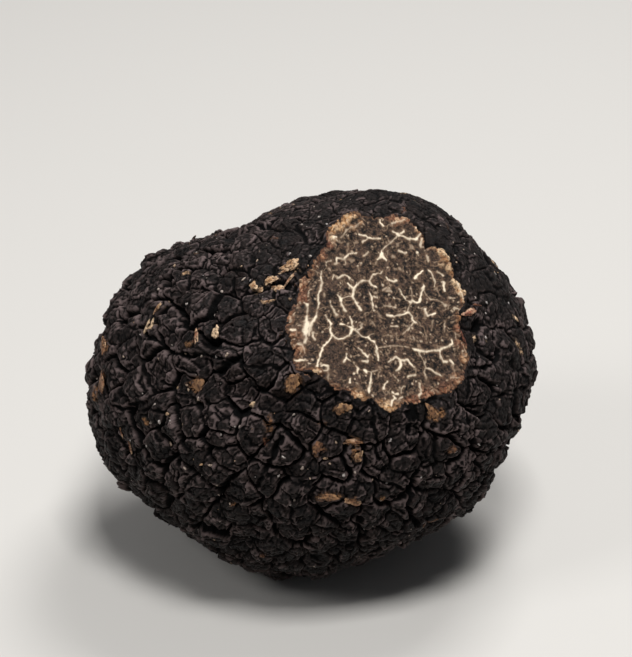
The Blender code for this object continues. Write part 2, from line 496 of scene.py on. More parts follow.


# %% [markdown]
# ## Folds, pits and pale ridges that the photograph shows
#
# Some marks are this truffle's own, so they are placed one by one: dark creases that run across several
# warts, a few deep pits, thin pale ridges that catch the light, and places where the dark skin is
# scraped off and the tan layer under it shows. Each is a short path of spots in the picture, put on the
# body by a ray. Widths and depths are real sizes in millimetres.

# %% Where the marks are
Crease = namedtuple("Crease", "depth width path")
# Creases and pits are cut into the relief and also painted dark, as shade.
CREASES = (
    Crease(1.0, 0.36, ((140, 326), (147, 338), (155, 341), (170, 352), (181, 354), (190, 358), (203, 355))),
    Crease(0.8, 0.30, ((203, 355), (217, 358), (236, 360), (250, 365), (270, 366), (284, 372))),
    Crease(0.8, 0.30, ((272, 344), (296, 349))),
    Crease(1.3, 0.50, ((281, 440), (274, 455), (266, 469), (260, 486))),
    Crease(1.0, 0.38, ((468, 380), (467, 407), (468, 431), (471, 445))),
    Crease(0.9, 0.32, ((469, 407), (491, 403), (509, 397))),
    Crease(0.6, 0.22, ((469, 385), (492, 386), (514, 384))),
    Crease(0.9, 0.30, ((470, 368), (486, 365), (501, 362))),
    Crease(1.3, 0.50, ((421, 466), (417, 480), (407, 506), (413, 518), (418, 524))),
    Crease(0.9, 0.32, ((366, 476), (386, 483), (406, 491), (416, 487))),
    Crease(1.1, 0.42, ((370, 402), (373, 421), (374, 436), (380, 457))),
    Crease(1.0, 0.42, ((407, 412), (409, 434))),
    Crease(0.8, 0.30, ((423, 440), (428, 456))),
    Crease(0.8, 0.30, ((434, 436), (446, 436), (459, 431))),
    Crease(0.8, 0.30, ((482, 448), (477, 461), (482, 476))),
    Crease(0.8, 0.30, ((448, 488), (453, 498))),
    Crease(1.0, 0.40, ((360, 518), (360, 532), (359, 544))),
    Crease(0.8, 0.30, ((313, 510), (313, 524), (331, 528), (351, 528))),
    Crease(0.9, 0.32, ((224, 524), (240, 531), (256, 532))),
    Crease(0.8, 0.30, ((276, 518), (288, 527), (300, 531))),
    Crease(0.8, 0.30, ((275, 493), (275, 508))),
    Crease(0.8, 0.30, ((116, 407), (128, 411), (144, 409), (163, 414))),
    Crease(0.8, 0.30, ((160, 382), (174, 394), (192, 398))),
    Crease(0.9, 0.34, ((179, 462), (178, 482))),
    Crease(0.6, 0.22, ((231, 270), (230, 285), (232, 300))),
    Crease(0.8, 0.34, ((297, 380), (306, 392), (322, 394), (335, 390))),
)
Pit = namedtuple("Pit", "x y wide high depth")
PITS = (
    Pit(184, 319, 0.9, 1.2, 1.5),
    Pit(168, 281, 1.2, 0.6, 1.3),
    Pit(213, 343, 1.2, 0.8, 1.0),
    Pit(124, 318, 0.7, 1.2, 1.0),
    Pit(283, 285, 1.2, 0.8, 1.2),
    Pit(478, 325, 0.9, 0.9, 0.9),
    Pit(336, 388, 1.0, 0.8, 1.1),
    Pit(412, 414, 0.7, 1.0, 1.0),
    Pit(330, 380, 0.8, 0.7, 0.9),
)
Ridge = namedtuple("Ridge", "height width pale path")
# A ridge is raised, and its third number paints it paler, as a highlight.
RIDGES = (
    Ridge(0.22, 0.16, 0.5, ((216, 261), (221, 255), (235, 251), (247, 251))),
    Ridge(0.20, 0.16, 0.5, ((150, 302), (160, 294), (171, 287))),
    Ridge(0.20, 0.16, 0.6, ((184, 273), (194, 268), (205, 265))),
    Ridge(0.22, 0.18, 0.6, ((116, 421), (121, 437), (127, 457))),
    Ridge(0.18, 0.15, 0.3, ((126, 474), (131, 480), (143, 480))),
    Ridge(0.20, 0.16, 0.35, ((441, 476), (455, 472), (468, 465), (481, 451))),
    Ridge(0.18, 0.15, 0.3, ((468, 491), (482, 485))),
    Ridge(0.18, 0.15, 0.3, ((442, 516), (455, 508))),
    Ridge(0.20, 0.15, 0.35, ((484, 442), (496, 433), (505, 419))),
    Ridge(0.22, 0.18, 0.6, ((370, 482), (380, 482), (392, 486), (406, 489))),
    Ridge(0.26, 0.18, 0.8, ((304, 478), (316, 479))),
    Ridge(0.24, 0.16, 0.7, ((324, 478), (332, 480))),
    Ridge(0.20, 0.14, 0.6, ((297, 503), (302, 499), (304, 495))),
    Ridge(0.20, 0.14, 0.5, ((209, 482), (220, 488))),
    Ridge(0.20, 0.14, 0.5, ((292, 525), (300, 529), (310, 526))),
    Ridge(0.18, 0.16, 0.3, ((276, 515), (290, 526), (312, 528))),
    Ridge(0.16, 0.14, 0.3, ((254, 236), (265, 238), (276, 238))),
    Ridge(0.16, 0.14, 0.25, ((217, 410), (228, 414))),
)
Knob = namedtuple("Knob", "x y height width")  # single warts that stand out or stay back on the outline
KNOBS = (
    Knob(103, 315, 1.10, 1.5),
    Knob(98, 331, -0.45, 1.0),
    Knob(112, 295, 0.95, 1.5),
    Knob(129, 277, 0.45, 1.1),
    Knob(139, 271, -0.40, 0.9),
    Knob(152, 257, 0.55, 1.6),
    Knob(187, 238, 0.95, 1.7),
    Knob(211, 237, -0.30, 1.0),
    Knob(239, 221, -0.70, 1.8),
    Knob(152, 516, 0.75, 2.2),
    Knob(176, 526, 0.40, 1.4),
    Knob(112, 474, 0.35, 1.6),
    Knob(320, 194, -0.50, 3.2),
    Knob(337, 187, -1.10, 2.8),
    Knob(355, 183, -0.80, 2.2),
    Knob(384, 185, -0.45, 2.2),
    Knob(280, 206, -0.35, 2.2),
    Knob(423, 199, 0.15, 1.6),
    Knob(465, 223, -0.50, 1.8),
    Knob(489, 249, -0.95, 2.4),
    Knob(517, 283, -0.50, 1.4),
    Knob(520, 298, 0.45, 1.4),
    Knob(539, 360, -0.75, 1.4),
    Knob(524, 403, -0.45, 1.2),
    Knob(520, 424, 0.45, 1.3),
    Knob(498, 478, -1.05, 1.9),
    Knob(494, 492, -0.25, 1.8),
    Knob(82, 402, -0.85, 2.0),
    Knob(88, 434, -0.70, 1.7),
    Knob(101, 464, 0.45, 1.3),
    Knob(121, 489, 0.75, 1.6),
    Knob(280, 577, -0.60, 2.4),
    Knob(534, 372, 0.25, 1.4),
)
Scuff = namedtuple("Scuff", "x y wide high red")  # red runs from 0, cream, over tan to 1, reddish
SCUFFS = (
    Scuff(291, 267, 1.15, 0.75, 0.35),
    Scuff(273, 283, 0.95, 0.80, 0.35),
    Scuff(257, 288, 0.75, 0.45, 0.3),
    Scuff(266, 302, 0.80, 0.15, 0.3),
    Scuff(156, 318, 0.28, 0.95, 0.1),
    Scuff(148, 329, 0.30, 0.75, 0.1),
    Scuff(162, 307, 0.45, 0.28, 0.35),
    Scuff(198, 336, 0.30, 0.90, 0.75),
    Scuff(216, 333, 0.40, 0.45, 0.1),
    Scuff(188, 344, 0.55, 0.45, 0.5),
    Scuff(108, 346, 0.90, 0.95, 0.6),
    Scuff(102, 378, 0.80, 1.10, 0.7),
    Scuff(98, 392, 0.70, 0.90, 0.6),
    Scuff(195, 385, 1.05, 0.95, 0.55),
    Scuff(199, 400, 0.30, 0.25, 0.0),
    Scuff(252, 405, 0.30, 0.40, 0.0),
    Scuff(270, 424, 0.60, 1.10, 0.6),
    Scuff(264, 441, 0.45, 0.65, 0.85),
    Scuff(144, 421, 0.60, 0.40, 0.5),
    Scuff(294, 384, 1.15, 1.05, 0.55),
    Scuff(343, 408, 0.85, 0.65, 0.55),
    Scuff(322, 424, 0.60, 0.45, 0.5),
    Scuff(318, 451, 0.80, 0.85, 0.65),
    Scuff(355, 443, 0.95, 0.60, 0.55),
    Scuff(358, 455, 0.75, 0.70, 0.55),
    Scuff(435, 415, 1.15, 0.85, 0.5),
    Scuff(452, 450, 0.70, 0.45, 0.7),
    Scuff(330, 497, 1.35, 0.60, 0.55),
    Scuff(354, 501, 1.05, 0.60, 0.6),
    Scuff(382, 500, 0.50, 0.40, 0.5),
    Scuff(430, 523, 1.20, 0.55, 0.7),
    Scuff(263, 555, 0.55, 0.60, 0.75),
    Scuff(232, 507, 0.50, 0.40, 0.6),
    Scuff(520, 348, 0.45, 1.45, 0.2),
    Scuff(514, 317, 0.35, 0.50, 0.1),
    Scuff(475, 339, 0.45, 0.45, 0.1),
    Scuff(486, 338, 0.40, 0.30, 0.15),
    Scuff(416, 201, 0.45, 0.22, 0.2),
    Scuff(404, 209, 1.00, 0.22, 0.9),
    Scuff(448, 228, 0.60, 0.25, 0.9),
    Scuff(272, 238, 0.60, 0.25, 0.8),
    Scuff(342, 197, 0.40, 0.45, 0.35),
    Scuff(187, 273, 0.40, 0.30, 0.3),
    Scuff(196, 254, 0.45, 0.30, 0.4),
    Scuff(172, 389, 0.30, 0.20, 0.1),
)
WILD_SCUFFS = 70  # more of them all round, where the photograph doesn't reach
print(len(CREASES), "creases", len(PITS), "pits", len(RIDGES), "ridges", len(SCUFFS), "scuffs")


# %% How far a point is from a mark
def to_run(points, start, end):
    """The nearest spot on a straight run: its share of the way from start to end, and how far off it is."""
    line = end - start
    along = np.clip((points - start) @ line / (line @ line), 0, 1)
    return along, np.linalg.norm(points - start - along[:, None] * line, axis=1)


def distance_to_path(points, path):
    """The smallest distance to the straight runs between the path's points."""
    nearest = np.full(len(points), np.inf)
    for start, end in zip(path[:-1], path[1:]):
        nearest = np.minimum(nearest, to_run(points, start, end)[1])
    return nearest


def round_bell(points, middle, size):
    """1 in the middle, and e to the power of minus (distance over size) squared away from it."""
    return np.exp(-((np.linalg.norm(points - middle, axis=1) / size) ** 2))


def oval_distance(points, middle, wide, high):
    """1 on the edge of an oval that lies on the body, less inside it and more outside."""
    outward = unit(middle)
    across = unit(np.cross(np.array([0.0, 0.0, 1.0]), outward))
    up = np.cross(outward, across)
    offset = points - middle
    flat = np.stack([offset @ across / wide, offset @ up / high, offset @ outward / max(wide, high)], axis=1)
    return np.linalg.norm(flat, axis=1)


def wild_scuffs():
    """Scuffs at seeded directions outside the photograph's view: middle, width, height and redness."""
    random = np.random.default_rng(5)
    towards = unit(random.normal(size=(4 * WILD_SCUFFS, 3)))
    hidden = towards[towards @ backwards < 0.1][:WILD_SCUFFS]
    middles = hidden * body_radius(hidden)[:, None]
    sizes = random.uniform(0.2, 1.0, size=(len(hidden), 2))
    sizes = sizes * random.uniform(0.5, 1.1, size=(len(hidden), 1))
    reds = random.uniform(0, 0.9, len(hidden))
    return [(middle, *size, red) for middle, size, red in zip(middles, sizes, reds)]


crease_paths = [on_body(crease.path) for crease in CREASES]
ridge_paths = [on_body(ridge.path) for ridge in RIDGES]
knob_middles = on_body([(knob.x, knob.y) for knob in KNOBS])
pit_middles = on_body([(pit.x, pit.y) for pit in PITS])
scuff_middles = on_body([(scuff.x, scuff.y) for scuff in SCUFFS])
scuff_ovals = [(m, s.wide, s.high, s.red) for m, s in zip(scuff_middles, SCUFFS)] + wild_scuffs()

# %% [markdown]
# ## The skin's height, put together
#
# The height over the smooth body is a sum: the warts' tops, less the cracks, plus cobbles on the warts,
# wrinkles and grain, less creases and pits, plus ridges. The function also hands back what the material
# needs to know at each point: how deep in a crack, crease or pit it is, which is painted as shade, how
# pale, with painted highlights and shade in it, and how scuffed.

# %% The relief
# In a Skin, the crack mask is painted shade in cracks, creases and pits, and the tone holds painted
# highlights and painted shade as well as the crust's own tone.
Skin = namedtuple("Skin", "radius wart crack tone scuff red")
CRACK_DEPTH = 1.0
CLOSED_SHARE = 0.20  # this share of the cracks is closed
CREASE_SHARE = 0.85  # how much of a crease's depth is left after it is blurred
CREASE_FLARE = 1.4  # how many of its widths a crease needs to fade out
BLOCK_SIZE = 1.45  # the cobbles on the warts
CHIP_SIZE = 0.66  # and smaller ones on those
WRINKLE_SIZE = 0.62
WRINKLE_HEIGHT = 0.13
COMBING = 0.78  # how much wrinkles are drawn out along one way of their wart
GRAIN_SIZE = 0.38
GRAIN_HEIGHT = 0.07
SCUFF_HEIGHT = 0.06
NEAR_CUT = 1.3  # how far from the cut the relief is still lower
NEAR_CUT_LOSS = 0.6


def crack_depth(towards, own, other, radius):
    """A steep-sided groove: depth times (1 - ease(distance / half width)). Depth and half width come from
    a number that the two warts share. Between two parts of the skin the crack is always open."""
    low, high = np.minimum(own, other), np.maximum(own, other)
    pair = np.stack([low, high, low * 0], axis=1)
    chance = scramble(pair, 3)
    chance = np.where(wart_parts[own] != wart_parts[other], np.maximum(chance, 0.6), chance)
    opened = smooth((chance - CLOSED_SHARE) / 0.50)
    half_width = 0.19 + 0.34 * scramble(pair, 4) ** 1.5 * opened
    depth = CRACK_DEPTH * (0.12 + 0.88 * opened)
    gap = gap_to(towards, own, other, radius)
    return depth * (1 - smooth(gap / half_width)) + 0.06 * np.exp(-gap / 0.35)


def marks(bent, uneven):
    """The height that creases, pits and ridges add, with the mask of painted shade in creases and pits
    and the mask of painted highlight on ridges.
    """
    height = np.zeros(len(bent))
    painted_crease_and_pit_shade = np.zeros(len(bent))
    pale = np.zeros(len(bent))
    for crease, path in zip(CREASES, crease_paths):
        groove = 1 - smooth(distance_to_path(bent, path) / (crease.width * CREASE_FLARE * uneven))
        height = np.minimum(height, -CREASE_SHARE * crease.depth * uneven * groove)
        painted_crease_and_pit_shade = np.maximum(painted_crease_and_pit_shade, groove)
    for pit, middle in zip(PITS, pit_middles):
        hole = 1 - smooth((oval_distance(bent, middle, pit.wide, pit.high) - 0.45) / 0.75)
        height = height - pit.depth * hole
        painted_crease_and_pit_shade = np.maximum(painted_crease_and_pit_shade, hole)
    for knob, middle in zip(KNOBS, knob_middles):
        height = height + knob.height * round_bell(bent, middle, knob.width)
    for ridge, path in zip(RIDGES, ridge_paths):
        crest = np.exp(-((distance_to_path(bent, path) / ridge.width) ** 2))
        height = height + ridge.height * crest
        pale = np.maximum(pale, ridge.pale * crest)
    return height, painted_crease_and_pit_shade, pale


def scuff_masks(bent):
    """How scuffed each point is, from 0 to 1, and how red its nearest scuff is."""
    scuff = np.zeros(len(bent))
    red = np.zeros(len(bent))
    for middle, wide, high, redness in scuff_ovals:
        mask = 1 - smooth((oval_distance(bent, middle, wide, high) - 0.55) / 0.6)
        red = np.where(mask > scuff, redness, red)
        scuff = np.maximum(scuff, mask)
    return scuff, red


def warts_and_cracks(around, radius):
    """The wart that owns each point, the height of the wart's top, and the depth of the cracks round it. At
    a border the tops of both warts count half, so that no step is left."""
    own, other, third = nearest_warts(around).T
    crack = np.maximum(crack_depth(around, own, other, radius), crack_depth(around, own, third, radius))
    nearness = 0.5 + 0.5 * smooth(gap_to(around, own, other, radius) / 0.3)
    tops = nearness * wart_top(around, own, radius)
    tops = tops + (1 - nearness) * wart_top(around, other, radius)
    return own, tops, crack


def cobbles(base, bent):
    """Two cell patterns, blocks and the chips on them. A cell is a plane that is tilted its own way, and
    thin grooves part it from the next. The cells' tags come too, for the tone."""
    blocks = cell_pattern(bent, BLOCK_SIZE, 40)
    chips = cell_pattern(base + 0.18 * drift(base, 0.5, 46), CHIP_SIZE, 48)
    split = smooth(0.5 + 1.5 * noise(base, 3.0, 44))
    height = 0.27 * blocks.lean + 0.12 * (blocks.tag - 0.5)
    height = height - (0.03 + 0.12 * split) * (1 - smooth(blocks.gap / 0.15))
    height = height + 0.15 * chips.lean + 0.04 * (chips.tag - 0.5)
    height = height - 0.03 * (1 - smooth(chips.gap / 0.10))
    return height, blocks.tag, chips.tag


def wrinkles(base, bent, wart):
    """Ridged noise, drawn out along one way of each wart and faded out in patches."""
    across = wart_across[wart]
    combed = bent - COMBING * (bent * across).sum(axis=1)[:, None] * across
    patches = smooth(1.2 * noise(base, 1.6, 52) + 0.5)
    return WRINKLE_HEIGHT * (ridges(combed, WRINKLE_SIZE, 50) - 0.5) * patches


def skin_tone(base, pale, block_tag, chip_tag):
    """How light the crust is: darker low down as a painted shade, uneven, paler on ridges as a painted
    highlight, its own on each cobble.
    """
    # The lower side is painted darker, as shade.
    painted_low_shade = 0.23 * smooth(0.5 - base[:, 2] / 20)
    tone = 0.43 - painted_low_shade + 0.40 * fractal(base, 3.2, 80) + pale
    return tone + 0.35 * (block_tag - 0.5) + 0.5 * (chip_tag - 0.5)


def skin_at(towards):
    """The skin in each direction: its radius, its wart and what its material reads."""
    smooth_radius = body_radius(towards)
    base = towards * smooth_radius[:, None]
    wobble = 0.60 * drift(base, 2.6, 21) + 0.26 * drift(base, 0.9, 24)
    bent = base + wobble
    own, tops, crack = warts_and_cracks(unit(bent), smooth_radius)
    cobble, block_tag, chip_tag = cobbles(base, bent)
    small = cobble + wrinkles(base, bent, own) + GRAIN_HEIGHT * noise(base, GRAIN_SIZE, 60)
    share = relief_share(towards) * relief_share(towards, CALM_PLACES)
    fine = 0.30 + 0.70 * share
    near_cut = np.exp(-(((smooth_radius + 0.3 - cut_radius(towards)) / NEAR_CUT) ** 2))
    share = share * (1 - NEAR_CUT_LOSS * near_cut)
    uneven = 0.75 + 0.45 * noise(base, 1.1, 28)
    added, painted_crease_and_pit_shade, pale = marks(base + 0.7 * wobble + 0.16 * drift(base, 0.6, 27), uneven)
    added = added * (1 - NEAR_CUT_LOSS * near_cut)
    scuff, red = scuff_masks(base + 0.5 * drift(base, 0.9, 70) + 0.2 * drift(base, 0.4, 73))
    height = share * (tops - crack) + fine * small + added + SCUFF_HEIGHT * scuff
    painted_crack_shade = np.clip(np.maximum(share * crack / 0.75, painted_crease_and_pit_shade), 0, 1)
    tone = skin_tone(base, pale, block_tag, chip_tag)
    radius = bend_to_ring(smooth_radius + height, towards, base, fine * small - 0.6 * share * crack)
    return Skin(radius, own, painted_crack_shade, tone, scuff * (1 - 0.6 * painted_crack_shade), red)


# %% [markdown]
# ## The skin as a mesh
#
# A ball's grid should have squares of one size and no poles. A cube whose faces are ruled into squares and
# blown up to a ball has both. The ruling is by equal angles, so the squares stay even. The skin needs about
# 750,000 triangles to hold cracks 0.4 mm wide, so it is divided into six parts, and each division runs
# along the floors of cracks, where nobody sees it.

# %% A ball from a cube
SQUARES = 256  # squares along each edge of the cube


def ball_grid(squares):
    """Directions tan(angle) on the six faces of a cube, made unit length, and the squares between them.
    Corners are whole numbers, so those on the cube's edges are merged exactly."""
    steps = np.arange(squares + 1)
    u, v = np.meshgrid(steps, steps, indexing="ij")
    spots, quads = [], []
    for axis, far in product(range(3), (0, 1)):
        face = np.zeros((squares + 1, squares + 1, 3), int)
        face[..., axis] = far * squares
        first, second = ((axis + 1) % 3, (axis + 2) % 3) if far else ((axis + 2) % 3, (axis + 1) % 3)
        face[..., first] = u
        face[..., second] = v
        number = len(spots) * (squares + 1) ** 2 + u * (squares + 1) + v
        corners = (number[:-1, :-1], number[1:, :-1], number[1:, 1:], number[:-1, 1:])
        quads.append(np.stack(corners, axis=-1).reshape(-1, 4))
        spots.append(face.reshape(-1, 3))
    spots, same = np.unique(np.concatenate(spots), axis=0, return_inverse=True)
    angles = (spots / squares - 0.5) * math.pi / 2
    return unit(np.tan(angles)), same.reshape(-1)[np.concatenate(quads)]


def make_piece(name, points, faces, masks, material):
    """A mesh object from millimetre points round the body's middle, with a named number at each point."""
    used, faces = np.unique(faces, return_inverse=True)
    faces = faces.reshape(-1, 4)
    mesh = bpy.data.meshes.new(name)
    mesh.from_pydata((points[used] + MIDDLE) * METRES, [], faces)
    for mask, values in masks.items():
        layer = mesh.attributes.new(mask, "FLOAT", "POINT")
        layer.data.foreach_set("value", values[used].astype(np.float32))
    mesh.shade_smooth()
    mesh.materials.append(material)
    piece = bpy.data.objects.new(name, mesh)
    bpy.context.scene.collection.objects.link(piece)
    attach(piece, "root")
    print(name, len(used), "points", 2 * len(faces), "triangles")
    return piece


# %% [markdown]
# ## The skin's finish
#
# The crust is almost black and a little brown in places. Raised edges and ridges are painted paler as a
# highlight, its lower side is painted darker as shade, and cracks, creases, pits and hollows are painted
# nearly black as shade. The material reads the masks that the mesh carries, so colour follows the relief
# exactly, and adds a grain that is finer than the mesh as a bump. Roughness changes from spot to spot,
# which gives the small wet-looking glints between matt places.


# %% Helpers for materials
def paint(red, green, blue):
    """A colour as a picture shows it, 0 to 255, turned into the linear values that Blender uses."""
    values = np.array([red, green, blue]) / 255
    linear = np.where(values <= 0.04045, values / 12.92, ((values + 0.055) / 1.055) ** 2.4)
    return (*linear.tolist(), 1.0)


class Nodes:
    """A material's node tree with short calls for the nodes that this object needs."""

    def __init__(self, name):
        self.material = bpy.data.materials.new(name)
        self.material.use_nodes = True
        self.tree = self.material.node_tree
        self.shader = self.tree.nodes["Principled BSDF"]

    def add(self, kind, inputs=None, **settings):
        node = self.tree.nodes.new(kind)
        for name, value in settings.items():
            setattr(node, name, value)
        for name, value in (inputs or {}).items():
            self.put(node.inputs[name], value)
        return node

    def put(self, socket, value):
        if isinstance(value, bpy.types.NodeSocket):
            self.tree.links.new(value, socket)
        else:
            socket.default_value = value

    def mask(self, name):
        return self.add("ShaderNodeAttribute", attribute_name=name).outputs["Fac"]

    def noise(self, size, detail=3.0, roughness=0.6):
        """A noise whose bumps are size millimetres across."""
        where = self.add("ShaderNodeTexCoord").outputs["Object"]
        inputs = {"Vector": where, "Scale": 1 / (size * METRES), "Detail": detail, "Roughness": roughness}
        return self.add("ShaderNodeTexNoise", inputs).outputs["Fac"]

    def span(self, value, low, high, to_low=0.0, to_high=1.0):
        inputs = {"Value": value, "From Min": low, "From Max": high, "To Min": to_low, "To Max": to_high}
        return self.add("ShaderNodeMapRange", inputs).outputs["Result"]

    def mix(self, amount, first, second):
        """A colour between two. The mix node keeps its two colours in sockets 6 and 7."""
        node = self.add("ShaderNodeMix", data_type="RGBA")
        self.put(node.inputs["Factor"], amount)
        self.put(node.inputs[6], first)
        self.put(node.inputs[7], second)
        return node.outputs[2]

    def sums(self, operation, first, second):
        node = self.add("ShaderNodeMath", operation=operation)
        self.put(node.inputs[0], first)
        self.put(node.inputs[1], second)
        return node.outputs[0]

    def bump(self, height, distance, strength):
        inputs = {"Height": height, "Distance": distance * METRES, "Strength": strength}
        self.put(self.shader.inputs["Normal"], self.add("ShaderNodeBump", inputs).outputs["Normal"])


# %% The skin's material
def skin_material():
    nodes = Nodes("truffle_skin")
    patches = nodes.noise(2.4)
    grain = nodes.noise(0.30, detail=4.0, roughness=0.7)
    # The tone runs from black to dark brown, darker low down as painted shade; past 0.9 it turns grey-brown,
    # the painted highlight of raised edges and ridges.
    crust = nodes.mix(nodes.span(nodes.mask("tone"), 0.1, 0.9), paint(4, 3, 3), paint(30, 23, 21))
    crust = nodes.mix(nodes.span(nodes.mask("tone"), 0.9, 1.7), crust, paint(108, 93, 91))
    crust = nodes.mix(nodes.span(patches, 0.52, 0.72, 0.0, 0.60), crust, paint(31, 21, 18))
    crust = nodes.mix(nodes.span(grain, 0.58, 0.74, 0.0, 0.45), crust, paint(84, 72, 66))
    tan = nodes.mix(nodes.span(nodes.mask("red"), 0.0, 0.5), paint(216, 186, 150), paint(150, 108, 72))
    tan = nodes.mix(nodes.span(nodes.mask("red"), 0.5, 1.0), tan, paint(118, 76, 60))
    tan = nodes.mix(nodes.span(grain, 0.42, 0.56, 0.0, 0.85), tan, paint(38, 26, 20))
    worn = nodes.sums("MULTIPLY", nodes.mask("scuff"), nodes.span(nodes.noise(0.46), 0.40, 0.54))
    colour = nodes.mix(worn, crust, tan)
    # Cracks, creases, pits and hollows are painted nearly black, as shade.
    colour = nodes.mix(nodes.span(nodes.mask("crack"), 0.22, 0.65), colour, paint(2, 1, 1))
    nodes.put(nodes.shader.inputs["Base Color"], colour)
    gloss = nodes.span(nodes.noise(0.7), 0.35, 0.65, 0.36, 0.70)
    gloss = nodes.sums("ADD", gloss, nodes.span(nodes.mask("crack"), 0.0, 0.5, 0.0, 0.5))
    nodes.put(nodes.shader.inputs["Roughness"], gloss)
    nodes.shader.inputs["Specular IOR Level"].default_value = 0.16
    nodes.bump(grain, 0.22, 1.0)
    return nodes.material


skin_finish = skin_material()


# %% Edges and hollows
def hollow_depth(values, quads, rounds):
    """How far each point lies below the mean of its surroundings. The mean of the neighbours is taken
    again and again, and each round reaches one square further."""
    first, second = quads.ravel(), np.roll(quads, -1, axis=1).ravel()
    count = len(values)
    number = np.bincount(first, minlength=count) + np.bincount(second, minlength=count)
    mean = values
    for _ in range(rounds):
        total = np.bincount(first, mean[second], count) + np.bincount(second, mean[first], count)
        mean = total / number
    return mean - values


# %% Make the six parts of the skin
HIDDEN_DEPTH = 0.5  # how far the skin goes down under the flesh
FLOOR_GAP = 0.02  # the lowest points stay this far over the floor
grid, grid_quads = ball_grid(SQUARES)
skin = skin_at(grid)
edge_hollow = hollow_depth(skin.radius, grid_quads, 2)
wide_hollow = hollow_depth(skin.radius, grid_quads, 12)
# Hollows are painted darker, as shade, through the crack mask.
painted_hollow_shade = np.clip(wide_hollow / 0.40, 0, 0.7) + np.clip(edge_hollow / 0.08, 0, 0.6)
# Raised edges and broad raised places are painted paler, as a highlight.
painted_edge_highlight = 0.62 * np.clip(-edge_hollow / 0.04, 0, 1) + 0.25 * np.clip(-wide_hollow / 0.25, 0, 1)
shaved = skin.radius - cut_radius(grid)
skin_radius = np.where(shaved > 0, cut_radius(grid) - np.minimum(0.8 * shaved, HIDDEN_DEPTH), skin.radius)
skin_points = grid * skin_radius[:, None]
floor_height = -MIDDLE[2] + FLOOR_GAP
skin_points[:, 2] = np.maximum(skin_points[:, 2], floor_height)
kept = grid_quads[(shaved[grid_quads] < 1.0).any(axis=1)]
face_part = wart_parts[skin.wart[kept[:, 0]]]
skin_masks = {
    "crack": np.clip(skin.crack + painted_hollow_shade, 0, 1),
    "tone": skin.tone + painted_edge_highlight,
    "scuff": skin.scuff,
    "red": skin.red,
}
for number, name in enumerate(SKIN_PARTS):
    part = make_piece(name, skin_points, kept[face_part == number], skin_masks, skin_finish)
    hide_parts("truffle")
